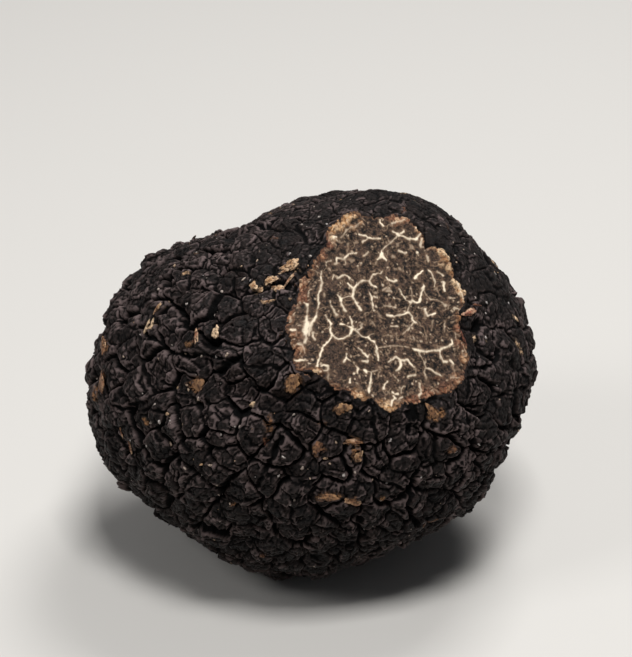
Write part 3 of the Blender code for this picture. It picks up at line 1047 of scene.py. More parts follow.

# %% [markdown]
# ## The flesh
#
# A knife leaves a face that is flat, a little uneven and finely marbled. The veins can't be a picture, so
# each main vein is a path that is read from the photograph, and the small ones between them are the
# lines of a warped noise, broken up by another. They are drawn into the mesh as a mask and stand a trace
# proud, as the firmer veins of a real truffle do. Round the flesh runs the cut edge of the skin, a band
# of tan and rust, torn here and there. The band is wherever the face is close under the old skin.

# %% The main veins
# A path of (x, y, width in pixels). Glow is 1 for cream and less for greyer veins.
Vein = namedtuple("Vein", "glow path")
VEINS = (
    Vein(0.85, (
        (321, 271, 2), (321, 277, 2.4), (322, 283, 2.4), (320, 290, 3), (318, 295, 2.4), (318, 301, 2),
        (319, 304, 2), (317, 311, 2), (316, 317, 3), (313, 321, 3),
    )),
    Vein(0.85, (
        (304, 302.5, 2), (307, 304.5, 3), (308, 308, 2.4), (307, 313, 2.4), (306.5, 319, 4),
        (307, 325, 9), (306, 330, 8), (306, 335, 6), (306.5, 338.5, 4), (304.5, 342.5, 3),
    )),
    Vein(0.8, ((313, 321, 3), (310.5, 326, 5), (310, 332, 4), (309, 336, 3))),
    Vein(0.7, ((298, 344, 2), (302, 344.5, 3), (304, 348, 2.6), (305, 353.5, 1.6))),
    Vein(0.8, ((317.5, 333, 2), (313, 333, 2.4), (313.3, 336.5, 2.4), (315.6, 340, 2.8))),
    Vein(0.6, ((311.4, 289, 2), (309, 291.5, 1.8), (308.5, 296.5, 2.6))),
    Vein(0.9, ((294.5, 360.2, 2.4), (299, 360.6, 3.4), (303.3, 360.6, 2.4))),
    Vein(0.75, ((287, 314, 2), (290.3, 317, 2.4), (290.7, 321.3, 3), (287.7, 323.2, 2))),
    Vein(0.6, ((294.6, 312.5, 2), (294, 316, 2.6))),
    Vein(0.9, ((291, 330, 3), (295, 330, 3))),
    Vein(0.45, ((296.8, 304.5, 2), (297.2, 308.5, 1.6))),
    Vein(0.7, ((324, 292.6, 2), (324.8, 296, 2.8))),
    Vein(0.95, (
        (325.5, 315, 1.6), (328.2, 319.4, 2.4), (331, 323.6, 2.8), (330.1, 330, 2.4), (332, 335, 2.6),
        (335.5, 337.6, 2.2), (339, 339.2, 2.2), (344.2, 338, 2.2), (348, 335.7, 2.4), (351.1, 332.3, 3),
        (352.2, 328.8, 4),
    )),
    Vein(0.95, (
        (331.7, 336, 2.2), (328.6, 340.7, 2), (325.2, 344.5, 2.6), (322.5, 347.2, 3.2),
        (321.3, 351.8, 2.6), (319, 357.5, 2), (317.5, 365.6, 3),
    )),
    Vein(0.5, ((324, 328.5, 1.8), (329, 327.5, 1.8))),
    Vein(0.8, ((321, 365.6, 2), (324, 364.8, 2.4), (328.2, 366.7, 3), (327, 370.5, 3.4), (324, 371, 2))),
    Vein(0.5, ((328, 372, 3), (328, 380, 2.4))),
    Vein(0.9, ((340.7, 324, 3), (344.2, 324.7, 1.8), (348.4, 326.3, 2), (352, 328, 4))),
    Vein(0.85, ((350.3, 316, 2), (351.5, 321, 2), (353, 326.6, 2.6))),
    Vein(0.85, ((354.9, 330, 3), (358.7, 333, 2.4), (361.8, 336, 2), (365.6, 336.9, 2), (368, 336.9, 3))),
    Vein(0.7, ((354, 329, 2.4), (358.7, 329.6, 2.4), (361.8, 327.3, 2), (362.6, 324, 2.8))),
    Vein(0.9, (
        (368, 337, 3), (371, 340.3, 2.4), (374.4, 342.2, 2.6), (376.3, 346, 2.6), (377.5, 349.5, 3.4),
        (376.4, 351.8, 3.4), (378.2, 355.6, 3), (378.6, 360.2, 2),
    )),
    Vein(0.55, ((368, 337, 2), (370.6, 334.2, 1.8), (373.7, 333.8, 2))),
    Vein(0.65, ((378, 348.5, 2), (384.8, 346.4, 1.8), (395, 346, 2), (405.3, 346, 2), (410, 348, 2.2))),
    Vein(0.9, (
        (412.2, 348.3, 2.6), (416.8, 349.9, 3.2), (420.2, 350.6, 3), (423.3, 351, 2),
        (426.4, 351.8, 2.6), (432, 350.6, 2), (439.7, 350.4, 3), (443.7, 347.6, 2.6), (448.3, 346, 2.4),
        (452.5, 343.8, 2.6), (451.6, 339.5, 2),
    )),
    Vein(0.9, (
        (440.3, 351.8, 2.2), (441.5, 357, 2.6), (443.7, 361.5, 3.2), (447.6, 362.2, 2.4),
        (450.6, 360.6, 2.8), (454, 364, 2),
    )),
    Vein(0.6, (
        (419, 351.8, 2), (421.8, 357, 1.8), (424.4, 362.5, 1.8), (426, 367, 2), (424.6, 371, 2),
        (425.6, 376, 2.2), (426.7, 378.8, 3.6),
    )),
    Vein(0.75, (
        (426, 368.2, 2), (430.6, 368.6, 2.8), (434, 371.3, 2.8), (439, 374.4, 2.4), (442, 376.3, 2),
    )),
    Vein(0.9, (
        (388.6, 361.7, 2), (391.6, 359.4, 2.2), (396, 357, 3.2), (400.7, 360.2, 3.4),
        (408.4, 359.8, 3.4), (410.7, 363.7, 2.6), (414.5, 367.5, 2),
    )),
    Vein(0.9, ((400.7, 360.2, 3.4), (401, 365.6, 3.6), (398.8, 369, 3), (395.4, 370.2, 2.2))),
    Vein(0.5, ((404, 362.5, 4), (406, 364, 3))),
    Vein(0.9, (
        (358, 347.6, 1.8), (361, 349.9, 2.6), (364, 353, 2.6), (367.5, 356.4, 3), (369.4, 354.5, 1.6),
    )),
    Vein(0.9, ((346.5, 353.3, 1.6), (347, 357, 2.2), (343.8, 362, 3))),
    Vein(0.8, ((347, 358, 2), (349.2, 360.2, 1.8))),
    Vein(0.8, ((363.4, 361.3, 3.6), (367.8, 361.3, 3.6))),
    Vein(0.6, ((353.8, 362.5, 2.4), (354.5, 364.8, 2))),
    Vein(0.85, ((356.4, 365.2, 2), (358, 368.6, 2.8), (357.6, 372.8, 2))),
    Vein(1.0, ((350.2, 379, 2.4), (349.9, 383, 3))),
    Vein(1.0, ((364.4, 369.8, 2.6), (366.5, 371.5, 4))),
    Vein(0.7, ((366.5, 371.5, 2), (371.4, 372.1, 2.2), (375.6, 370.5, 1.8), (380.2, 369, 2.8))),
    Vein(0.85, ((371.4, 372.5, 2), (371, 378.6, 2.2), (370, 386, 2.6), (369.2, 392.5, 3.4))),
    Vein(0.45, ((380.2, 371, 2), (378.2, 378.6, 1.8))),
    Vein(0.95, ((387, 381.8, 2.4), (384.4, 384.5, 2.4), (383.4, 389, 3))),
    Vein(0.95, ((392.7, 392.2, 2.4), (395.7, 393.7, 3), (398.4, 393.3, 2.4))),
    Vein(0.9, ((393.8, 395.6, 2.6), (395.4, 397.8, 2.8), (392.3, 401.3, 3), (390.6, 404.5, 4))),
    Vein(0.7, ((404.5, 385.3, 2), (401.5, 389, 2.4), (401.5, 392.5, 2.2))),
    Vein(0.75, ((399.2, 399, 2.2), (403, 397, 2.2))),
    Vein(0.7, (
        (419.5, 383, 2.6), (419.9, 388.3, 2.8), (420.6, 392.5, 3), (418.3, 395.6, 2.6),
        (421.4, 400.6, 2),
    )),
    Vein(0.75, ((408.4, 376.7, 2.8), (415.6, 375.1, 2.8))),
    Vein(0.55, ((393.8, 374.8, 2), (396.5, 377.8, 2), (398.4, 381.3, 2.4))),
    Vein(0.6, ((449.8, 378.2, 2), (453.7, 377.4, 2.8), (458.6, 377.4, 2.2))),
    Vein(0.8, ((459.8, 382.4, 3), (463, 383, 2.2))),
    Vein(0.4, ((430.6, 391.4, 2), (434.4, 388.7, 2.4), (440.5, 394.4, 2))),
    Vein(0.9, ((338.4, 278, 3), (342, 275.6, 2.2), (345, 275, 2.2), (348, 276.2, 2.4), (350, 278.2, 3.2))),
    Vein(0.7, ((333.6, 274.6, 3), (332.2, 279.5, 2))),
    Vein(0.6, ((335.5, 275.5, 2), (337.5, 278.5, 3))),
    Vein(0.9, (
        (347.6, 283, 3), (350.3, 286, 2.4), (353.8, 288.4, 3.4), (356.4, 285.3, 2.6),
        (359.5, 282.2, 2.4), (364.9, 279.6, 2), (368.9, 281, 3), (371.7, 284.5, 2.6), (376.3, 286.8, 3),
    )),
    Vein(0.75, (
        (369.4, 280.4, 2), (371.7, 277.3, 2), (373.7, 274.6, 3), (377.1, 273.4, 2), (380.9, 273, 2.6),
        (382.5, 270.8, 2.8),
    )),
    Vein(0.9, (
        (353.8, 288.4, 3.4), (353.4, 292.2, 2.6), (352.6, 296, 3), (355.3, 301, 2.2), (358, 305.2, 2.4),
        (361.2, 309.8, 4),
    )),
    Vein(0.75, ((352.2, 296, 2.4), (347.2, 296.4, 1.8), (342.7, 297.9, 2), (340.7, 299.1, 2.8))),
    Vein(0.9, (
        (338.4, 294.5, 2), (340.7, 299.1, 3), (341.5, 303.7, 2.8), (343.8, 307.9, 2.4),
        (346.1, 310.6, 3.6),
    )),
    Vein(0.8, (
        (370.6, 293.7, 1.8), (371.7, 296.4, 2.6), (372.5, 302.5, 2.2), (373.3, 308.3, 2.6),
        (374.8, 310.6, 2.6),
    )),
    Vein(0.75, ((371.5, 296.4, 2.4), (374.8, 296.4, 2.2), (377.9, 297.2, 2.4))),
    Vein(0.45, ((376, 311, 1.8), (379, 314, 2), (381.7, 317.4, 2))),
    Vein(0.95, ((386.7, 277, 2), (387.8, 279.6, 2.6), (391, 280.6, 2.6), (396.9, 280.5, 3))),
    Vein(0.55, ((382.8, 289.9, 2.6), (387.4, 288, 3), (390.7, 290.5, 3), (385.5, 290.8, 2.2))),
    Vein(0.35, ((394.6, 300, 1.8), (395, 303.7, 1.6))),
    Vein(0.6, ((384.8, 305.6, 2.4), (389.4, 305.7, 2.8), (395.7, 307.2, 2.2))),
    Vein(0.9, (
        (387.4, 314.6, 2.4), (393.4, 316.2, 4), (395.5, 315.9, 2.2), (401.5, 314.8, 2.4),
        (408.4, 312.5, 3.2), (412.2, 315.5, 2.4), (412.6, 319.8, 2.4), (416.6, 322.6, 3.2),
    )),
    Vein(0.7, ((413.7, 322.8, 2.2), (410.7, 326.6, 2), (407.5, 330, 2.4), (402.6, 333.8, 2))),
    Vein(0.6, ((410.7, 302, 2.2), (409.1, 306.7, 1.8), (408.4, 312, 2.4))),
    Vein(0.85, (
        (399.9, 289.1, 2.8), (402.6, 295.3, 2), (406.5, 299.8, 2), (410.7, 301.8, 3), (412.4, 300, 3.4),
    )),
    Vein(0.5, ((410.7, 286.5, 2.2), (411.8, 291.4, 1.8), (412.6, 298.3, 2))),
    Vein(0.95, (
        (412.6, 300.2, 3), (416.8, 302.4, 2.2), (419.6, 302, 3.2), (421, 296, 3), (421.8, 291.4, 3.2),
        (423.9, 285.6, 4),
    )),
    Vein(0.4, ((418.3, 286.1, 2.4), (420.6, 290.7, 1.8))),
    Vein(0.55, (
        (424.4, 291.4, 1.8), (426.7, 294.9, 1.8), (430.9, 299.1, 2.2), (437.8, 299.5, 1.8),
        (441.7, 302.1, 2.2),
    )),
    Vein(0.85, ((441.7, 302.1, 2.2), (445.1, 305, 4))),
    Vein(1.0, ((422.9, 270.2, 2.6), (419.1, 274.2, 2.8), (414.9, 278.4, 2.6))),
    Vein(0.85, (
        (428.3, 270, 2.6), (431.3, 273.1, 2.6), (432.9, 277.7, 2.2), (435.2, 281.1, 2.6),
        (434.6, 286.1, 2),
    )),
    Vein(0.7, ((437.5, 271.9, 2.4), (443.6, 275.7, 2.8))),
    Vein(1.0, ((443.6, 283.4, 5.4), (443.8, 287.5, 2.4), (445.1, 291.4, 3))),
    Vein(0.95, (
        (426, 308.8, 3), (426, 311.5, 3.4), (427.9, 315.2, 2.4), (431, 315, 2.2), (435.5, 313.6, 3.2),
    )),
    Vein(0.5, ((433.2, 319.8, 2.2), (432.5, 327.4, 2.6))),
    Vein(0.5, ((445.1, 321.7, 2.6), (444.8, 327, 2), (444.5, 332.3, 2.4))),
    Vein(0.8, ((391.3, 326.8, 2.4), (394, 326.4, 1.8), (397.3, 326.2, 3))),
    Vein(0.45, ((370.6, 319.4, 2.4), (374.8, 325.5, 3))),
    Vein(0.45, ((383.2, 336, 1.8), (387.8, 335, 2), (392.4, 335.4, 1.8))),
    Vein(0.8, ((454.4, 307.9, 2.8), (460.2, 309.8, 2.4), (463.2, 309, 2.4), (464.8, 305, 2))),
    Vein(0.8, ((330.1, 301, 2), (331.3, 305.2, 2.4), (334.3, 310.2, 2.4), (336.1, 314, 3.6))),
    Vein(0.9, (
        (359.6, 234.1, 2.6), (365.3, 235.3, 2.4), (368.4, 237.4, 2.6), (373, 238.2, 2.4),
        (379.9, 238.2, 2.4),
    )),
    Vein(0.75, ((362.6, 241.4, 3.2), (365.3, 239.9, 2.2), (368, 237.6, 2.4))),
    Vein(0.9, ((379.8, 219.2, 2), (380.6, 223, 2.4), (383.7, 226.1, 3))),
    Vein(0.95, (
        (393.2, 231.1, 2.4), (396, 232.4, 2.6), (399, 234.5, 4), (403.6, 235.7, 2.6), (408.8, 238.6, 4),
        (411.5, 238.4, 2.4), (415.4, 239, 4.4), (419.5, 236, 3.4), (421.6, 233, 2.6),
        (420.5, 230.3, 2.6), (416, 227.5, 2),
    )),
    Vein(0.85, ((399, 234.5, 3), (402, 232, 2), (404, 230.3, 3.4))),
    Vein(0.7, (
        (397.1, 235.7, 2.4), (394, 239.1, 1.8), (390.2, 243.3, 2), (386.4, 246.8, 2),
        (382.9, 249.4, 2.4),
    )),
    Vein(1.0, ((382.3, 250.5, 2), (381.8, 256, 5), (377.9, 260.2, 2.6))),
    Vein(0.95, ((381.8, 256, 4), (386.7, 260.3, 3))),
    Vein(0.4, ((377.6, 260.5, 2.4), (374.9, 265.1, 2.6))),
    Vein(0.45, ((388, 251.7, 2.6), (386.4, 257, 2))),
    Vein(0.65, ((364.5, 255, 2.8), (368, 251.7, 2.4))),
    Vein(0.5, ((357.7, 266.7, 2.4), (359.2, 270.9, 2))),
    Vein(0.45, ((379.1, 269.3, 2.2), (382.1, 271.6, 2.6))),
    Vein(0.8, ((398.6, 250.2, 2.8), (401, 251.7, 2), (404.7, 253.6, 2.8), (406.6, 252.5, 2))),
    Vein(0.65, ((392.1, 223.4, 3.4), (397.1, 221.9, 3.4), (401.7, 220.7, 3), (404.8, 220, 2.4))),
    Vein(0.85, (
        (337.1, 257.5, 3), (340.9, 258.2, 2), (344, 258.6, 2.4), (348.6, 254, 2.4), (352, 253.4, 2.6),
        (356.1, 252.5, 2.8),
    )),
    Vein(0.8, ((337.1, 257.5, 2.6), (336.5, 261, 2), (335.9, 264.4, 2.8))),
    Vein(0.45, ((348.2, 243.5, 2.4), (348.3, 248, 2), (346.8, 251.7, 2.4))),
    Vein(0.6, ((345.5, 260.5, 1.8), (346.6, 263, 2.2))),
    Vein(0.7, ((326, 263.2, 2.4), (328.5, 261.5, 2), (331, 260.5, 3))),
    Vein(0.45, ((329, 268, 2.8), (330, 271, 2.6))),
    Vein(0.85, ((427.6, 256.3, 3), (428, 261.7, 2.6))),
    Vein(0.35, ((416.5, 262.5, 2), (417.8, 266, 2))),
    Vein(0.6, (
        (340.5, 237.6, 2.4), (344.7, 233.8, 2.2), (346.3, 230.3, 2.4), (350, 228.4, 2.4),
        (353.8, 227.2, 2.4), (357.7, 224.6, 2.4), (360.3, 222.7, 2.6),
    )),
    Vein(1.0, ((333.5, 238.4, 5), (336, 237.4, 3.4))),
    Vein(0.7, (
        (421.8, 238, 2.2), (421, 243, 2.2), (420.7, 247, 2.4), (428, 246.4, 2.6), (435.6, 243.3, 2.2),
    )),
    Vein(0.8, ((456, 283, 3), (459, 286.5, 2.4), (460.6, 291.4, 2.6), (462, 296, 2.4), (464.4, 300.6, 3))),
    Vein(0.5, ((455, 332.7, 2), (456.7, 340.3, 2), (458, 348, 2))),
    Vein(0.55, ((463, 346.4, 2.2), (466, 351.4, 2.4), (468.6, 355.6, 2))),
    Vein(0.6, ((413.7, 336, 2), (414.5, 340.3, 2))),
    Vein(0.4, ((396.1, 334.2, 2), (397.7, 339.5, 2))),
)
Specks = namedtuple("Specks", "glow spots")  # round bright spots, also (x, y, width in pixels)
SPECKS = (
    Specks(0.85, (
        (394.2, 297.4, 3.6), (417.6, 252.5, 3.6), (408.8, 404.4, 3.4), (354.3, 373.6, 3),
        (386.4, 236.2, 2.4), (304.5, 276.5, 2.8), (302, 283.5, 2.8),
    )),
    Specks(0.7, (
        (421, 332.3, 2.6), (430.6, 333.8, 2.4), (354.9, 378.6, 2.2), (376.3, 306, 3.2),
        (361.5, 262.5, 2.6), (406.6, 260.5, 2.4), (299, 291.5, 3),
    )),
    Specks(0.5, (
        (359.5, 376, 3.6), (418.3, 337.2, 2.6), (422.1, 340.3, 2), (426.7, 339.2, 2.6),
        (392.7, 339.9, 2.6), (353.8, 349.9, 2.6), (359.1, 354.8, 3),
    )),
    Specks(0.5, (
        (436.7, 324.7, 2.2), (370.3, 263.2, 2.4), (452.5, 297.5, 3), (394, 256.3, 5), (399.8, 268.6, 5),
        (375.6, 292.6, 3.4), (356.8, 293, 2.4),
    )),
    Specks(0.35, (
        (386.4, 241.8, 3.8), (431.4, 264.8, 2.6), (416.8, 332.3, 2.4), (407.6, 337.6, 2),
        (436.7, 339.9, 2), (382.8, 328.4, 2.4), (367.9, 343.4, 2.4),
    )),
    Specks(0.35, (
        (419.5, 364.8, 2.2), (346.5, 293, 3), (417.9, 318.2, 2), (404.9, 317.8, 2), (412.5, 393, 2.4),
        (439, 368, 2.2), (388, 350, 2.2),
    )),
)
PlainPlace = namedtuple("PlainPlace", "x y size")  # smooth grey flesh without fine veins
PLAIN_PLACES = (PlainPlace(333, 350, 1.3), PlainPlace(338, 361, 1.1), PlainPlace(344, 370, 0.8))
# The band's patches: red runs from tan to reddish brown, light from dark brown to cream, and the cream
# end is partly a painted highlight
RimPatch = namedtuple("RimPatch", "x y size red light")
RIM_PATCHES = (
    RimPatch(344, 221, 1.0, 0.30, 0.62),
    RimPatch(349, 217, 0.6, 0.25, 0.85),
    RimPatch(333, 228, 0.8, 0.35, 0.6),
    RimPatch(340, 228, 0.6, 0.30, 0.7),
    RimPatch(334, 239, 0.5, 0.30, 1.0),
    RimPatch(331, 245, 0.6, 1.00, 0.65),
    RimPatch(326, 244, 0.3, 1.00, 0.2),
    RimPatch(322, 257, 0.8, 0.65, 0.5),
    RimPatch(313, 264, 0.9, 0.60, 0.6),
    RimPatch(305, 275, 1.0, 0.70, 0.65),
    RimPatch(301, 288, 1.1, 0.75, 0.6),
    RimPatch(304, 298, 0.9, 0.85, 0.5),
    RimPatch(355, 216, 0.5, 0.30, 0.75),
    RimPatch(353, 227, 0.6, 0.55, 0.6),
    RimPatch(360, 223, 0.5, 0.45, 0.7),
    RimPatch(396, 222, 0.8, 0.75, 0.55),
    RimPatch(405, 221, 0.7, 0.75, 0.6),
    RimPatch(417, 229, 0.6, 0.45, 0.75),
    RimPatch(422, 240, 0.6, 0.45, 0.8),
    RimPatch(432, 246, 0.6, 0.40, 0.7),
    RimPatch(442, 251, 0.9, 0.45, 1.15),
    RimPatch(446, 258, 1.0, 0.45, 1.20),
    RimPatch(450, 268, 0.8, 0.45, 0.8),
    RimPatch(440, 264, 0.7, 0.45, 0.7),
    RimPatch(456, 283, 0.6, 0.30, 1.2),
    RimPatch(460, 291, 0.7, 0.30, 1.15),
    RimPatch(464, 300, 0.5, 0.35, 0.8),
    RimPatch(459, 318, 0.8, 0.50, 0.5),
    RimPatch(459, 330, 0.8, 0.85, 0.4),
    RimPatch(459, 345, 0.8, 0.85, 0.4),
    RimPatch(463, 357, 0.8, 0.50, 0.45),
    RimPatch(456, 378, 0.8, 0.60, 0.5),
    RimPatch(441, 386, 1.4, 0.80, 0.48),
    RimPatch(428, 392, 1.2, 0.75, 0.50),
    RimPatch(415, 399, 1.2, 0.80, 0.56),
    RimPatch(388, 405, 1.1, 0.20, 0.75),
    RimPatch(358, 394, 0.9, 0.45, 0.95),
    RimPatch(317, 370, 0.7, 0.40, 0.7),
    RimPatch(311, 374, 0.6, 0.50, 0.55),
    RimPatch(300, 351, 1.0, 0.65, 0.45),
    RimPatch(298, 364, 0.8, 0.70, 0.4),
    RimPatch(335, 388, 0.7, 0.60, 0.45),
    RimPatch(296, 334, 0.9, 0.65, 0.5),
    RimPatch(289, 318, 0.8, 0.65, 0.5),
)


def with_half_widths(spots):
    """Points on the cut, and their half widths in millimetres."""
    spots = np.array(spots, float)
    return on_cuts(spots[:, :2]), 0.50 * spots[:, 2] * MM_PER_PIXEL


vein_paths = [(vein.glow, *with_half_widths(vein.path)) for vein in VEINS]
speck_groups = [(group.glow, *with_half_widths(group.spots)) for group in SPECKS]
rim_middles = on_cuts([(patch.x, patch.y) for patch in RIM_PATCHES])
plain_middles = on_cuts([(place.x, place.y) for place in PLAIN_PLACES])
print(len(VEINS), "main veins", len(RIM_PATCHES), "rim patches")

# %% A grid over the cut
FLESH_SQUARES = 236
RIM_MARGIN = 1.2  # how far the flesh's mesh runs on under the skin


def disc_grid(squares):
    """A square's grid pressed into a round one: rings of the square become circles of equal steps."""
    steps = np.linspace(-1, 1, squares + 1)
    u, v = np.meshgrid(steps, steps, indexing="ij")
    wide = np.abs(u) >= np.abs(v)
    longer = np.where(wide, u, v)
    share = np.where(wide, v, u) / np.where(longer == 0, 1, longer)
    turn = np.where(wide, share * math.pi / 4, math.pi / 2 - share * math.pi / 4)
    number = np.arange((squares + 1) ** 2).reshape(squares + 1, squares + 1)
    corners = (number[:-1, :-1], number[1:, :-1], number[1:, 1:], number[:-1, 1:])
    turn = np.where(longer < 0, turn + math.pi, turn)
    return np.abs(longer).ravel(), turn.ravel(), np.stack(corners, axis=-1).reshape(-1, 4)


def on_large_cut(reach, turn):
    """Points at a distance and an angle round the ring's centre, on the plane of the large cut."""
    across = ring_middle[0] + reach * np.cos(turn)
    up = ring_middle[1] + reach * np.sin(turn)
    return CUTS[0].distance * cut_facing + across[:, None] * cut_across + up[:, None] * cut_up


# %% Veins, rim and face
def widths_away(points, path, half_widths):
    """The distance to the path as a share of its half width there, which runs evenly from spot to spot."""
    nearest = np.full(len(points), np.inf)
    for start, end, first, last in zip(path[:-1], path[1:], half_widths[:-1], half_widths[1:]):
        along, away = to_run(points, start, end)
        nearest = np.minimum(nearest, away / (first + along * (last - first)))
    return nearest


def plain_mask(points):
    """1 in the middle of a smooth place, falling off like a bell."""
    places = zip(PLAIN_PLACES, plain_middles)
    return np.max([round_bell(points, middle, place.size) for place, middle in places], axis=0)


def vein_mask(points):
    """Glow inside a vein and 0 outside, with a soft edge and a faint halo. The photograph's veins are paths
    and specks, and fine veins between them are where a warped noise is near zero."""
    wavy = points + 0.09 * drift(points, 0.8, 120) + 0.08 * drift(points, 0.28, 123)
    uneven = 1 + 0.7 * noise(points, 0.40, 126)
    patchy = 0.65 + 0.35 * smooth(0.6 + noise(points, 0.7, 127))
    mask = np.zeros(len(points))
    for glow, path, half_widths in vein_paths:
        away = widths_away(wavy, path, half_widths) / uneven
        drawn = 0.85 * glow * patchy * (1 - smooth((away - 0.25) / 1.0))
        mask = np.maximum(mask, drawn + 0.22 * glow * (1 - smooth((away - 0.6) / 2.4)))
    for glow, middles, half_widths in speck_groups:
        for middle, half_width in zip(middles, half_widths):
            away = np.linalg.norm(wavy - middle, axis=1) / half_width / uneven
            mask = np.maximum(mask, glow * (1 - smooth((away - 0.35) / 0.95)))
    winding = points + 0.35 * drift(points, 1.3, 130)
    lines = np.abs(noise(winding, 0.85, 134))
    broken = smooth((noise(points, 0.8, 137) - 0.02) / 0.20)
    fine = (1 - smooth((lines - 0.02) / 0.12)) * broken
    dots = cell_pattern(winding, 0.34, 140)
    specks = smooth((dots.gap - 0.01) / 0.06) * smooth((dots.tag - 0.62) / 0.30)
    specks = specks * smooth(0.8 + noise(points, 1.5, 142))
    small = np.maximum(0.42 * fine, 0.62 * specks) * (1 - plain_mask(wavy))
    return np.clip(np.maximum(mask, small), 0, 1)


def rim_masks(points, under):
    """The band of cut skin, from how far the face lies under the old skin, and its redness and its
    lightness, whose cream end is partly a painted highlight.
    """
    width = 0.17 + 0.10 * noise(points, 1.6, 150)
    patch = np.zeros(len(points))
    red = 0.65 + 0.35 * noise(points, 2.5, 153)
    light = 0.35 + 0.30 * noise(points, 1.2, 154)
    shifted = points + 0.30 * drift(points, 0.8, 156)
    for spot, middle in zip(RIM_PATCHES, rim_middles):
        glow = round_bell(shifted, middle, spot.size)
        red = red * (1 - glow) + spot.red * glow
        light = light * (1 - glow) + spot.light * glow
        patch = np.maximum(patch, glow)
    width = width + 0.60 * patch
    rim = 1 - smooth((under - 0.5 * width) / np.maximum(0.9 * width, 0.05))
    return rim * (0.30 + 0.70 * patch), np.clip(red, 0, 1), np.clip(light, 0, 1), patch


flesh_reach, flesh_turn, flesh_quads = disc_grid(FLESH_SQUARES)
rim_reach = np.interp(flesh_turn, ring_turn, ring_reach, period=math.tau) + RIM_MARGIN
flesh_reach = flesh_reach * rim_reach
flesh_ways = unit(on_large_cut(flesh_reach, flesh_turn))
face_radius = cut_radius(flesh_ways)
skin_over = skin_at(flesh_ways)
covered = skin_over.radius - face_radius  # how much was shaved off at each point
face_points = flesh_ways * face_radius[:, None]
vein = vein_mask(face_points) * smooth((covered - 0.04) / 0.16)
rim, rim_red, rim_lightness_and_painted_light, rim_patch = rim_masks(face_points, covered)
waves = 0.07 * noise(face_points, 3.5, 160) + 0.03 * noise(face_points, 0.8, 161)
lip = 0.26 * rim_patch * np.exp(-(((covered - 0.35) / 0.35) ** 2)) * (0.6 + noise(face_points, 0.9, 162))
crumbs = cell_pattern(face_points + 0.20 * drift(face_points, 0.4, 166), 0.80, 163)
crumb_gap = 1 - smooth(crumbs.gap / 0.09)
broken_rim = smooth(1.4 * rim)
lip = lip + broken_rim * (0.15 * crumbs.lean + 0.12 * (crumbs.tag - 0.4) - 0.12 * crumb_gap)
# The gaps between the crumbs are painted darker, as shade.
rim_lightness_and_painted_light = np.clip(rim_lightness_and_painted_light + broken_rim * (0.55 * (crumbs.tag - 0.5) - 0.4 * crumb_gap), 0, 1)
pitted = np.minimum(noise(face_points, 0.42, 167), 0) * (1 - broken_rim)
face_relief = waves + lip + 0.05 * vein + 0.10 * pitted - 0.05
face_limit = np.minimum(face_radius + face_relief, skin_over.radius + 0.05)
tucked = skin_over.radius - 0.02 - np.minimum(0.5 * np.maximum(-covered, 0), 0.5)
flesh_radius = np.where(covered > 0, face_limit, tucked)
flesh_points = flesh_ways * flesh_radius[:, None]
mottle = 0.5 + 0.55 * fractal(face_points, 2.4, 170) + 0.85 * noise(face_points, 0.55, 174)
mottle = mottle + (0.72 - mottle) * 0.8 * plain_mask(face_points)
flesh_masks = {"vein": vein, "rim": rim, "red": rim_red, "light": rim_lightness_and_painted_light, "mottle": mottle}


# %% The flesh's material
def flesh_material():
    nodes = Nodes("truffle_flesh")
    grain = nodes.noise(0.22, detail=4.0, roughness=0.7)
    dots = nodes.noise(0.34, detail=2.0)
    meat = nodes.mix(nodes.span(nodes.mask("mottle"), 0.10, 0.95), paint(8, 6, 5), paint(76, 58, 47))
    meat = nodes.mix(nodes.span(grain, 0.52, 0.68, 0.0, 0.70), meat, paint(134, 106, 84))
    meat = nodes.mix(nodes.span(dots, 0.50, 0.60, 0.0, 0.85), meat, paint(9, 7, 7))
    edge = nodes.mix(nodes.span(nodes.mask("red"), 0.2, 0.6), paint(192, 142, 88), paint(154, 108, 78))
    edge = nodes.mix(nodes.span(nodes.mask("red"), 0.6, 1.0), edge, paint(146, 88, 68))
    # Low lightness turns the band dark brown, which in the crumbs' gaps is painted shade; high lightness
    # turns it cream, partly a painted highlight.
    edge = nodes.mix(nodes.span(nodes.mask("light"), 0.0, 0.5, 0.9, 0.0), edge, paint(34, 20, 16))
    edge = nodes.mix(nodes.span(nodes.mask("light"), 0.5, 1.0, 0.0, 0.9), edge, paint(240, 208, 168))
    edge = nodes.mix(nodes.span(dots, 0.48, 0.62, 0.0, 0.75), edge, paint(44, 26, 20))
    colour = nodes.mix(nodes.mask("rim"), meat, edge)
    cream = nodes.mix(nodes.span(nodes.mask("vein"), 0.25, 0.85), paint(166, 134, 106), paint(250, 232, 204))
    colour = nodes.mix(nodes.mask("vein"), colour, cream)
    nodes.put(nodes.shader.inputs["Base Color"], colour)
    nodes.put(nodes.shader.inputs["Roughness"], nodes.span(nodes.noise(0.6), 0.35, 0.65, 0.45, 0.75))
    nodes.shader.inputs["Specular IOR Level"].default_value = 0.15
    nodes.bump(grain, 0.12, 1.0)
    return nodes.material


flesh = make_piece("cut_flesh", flesh_points, flesh_quads, flesh_masks, flesh_material())
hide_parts("truffle")
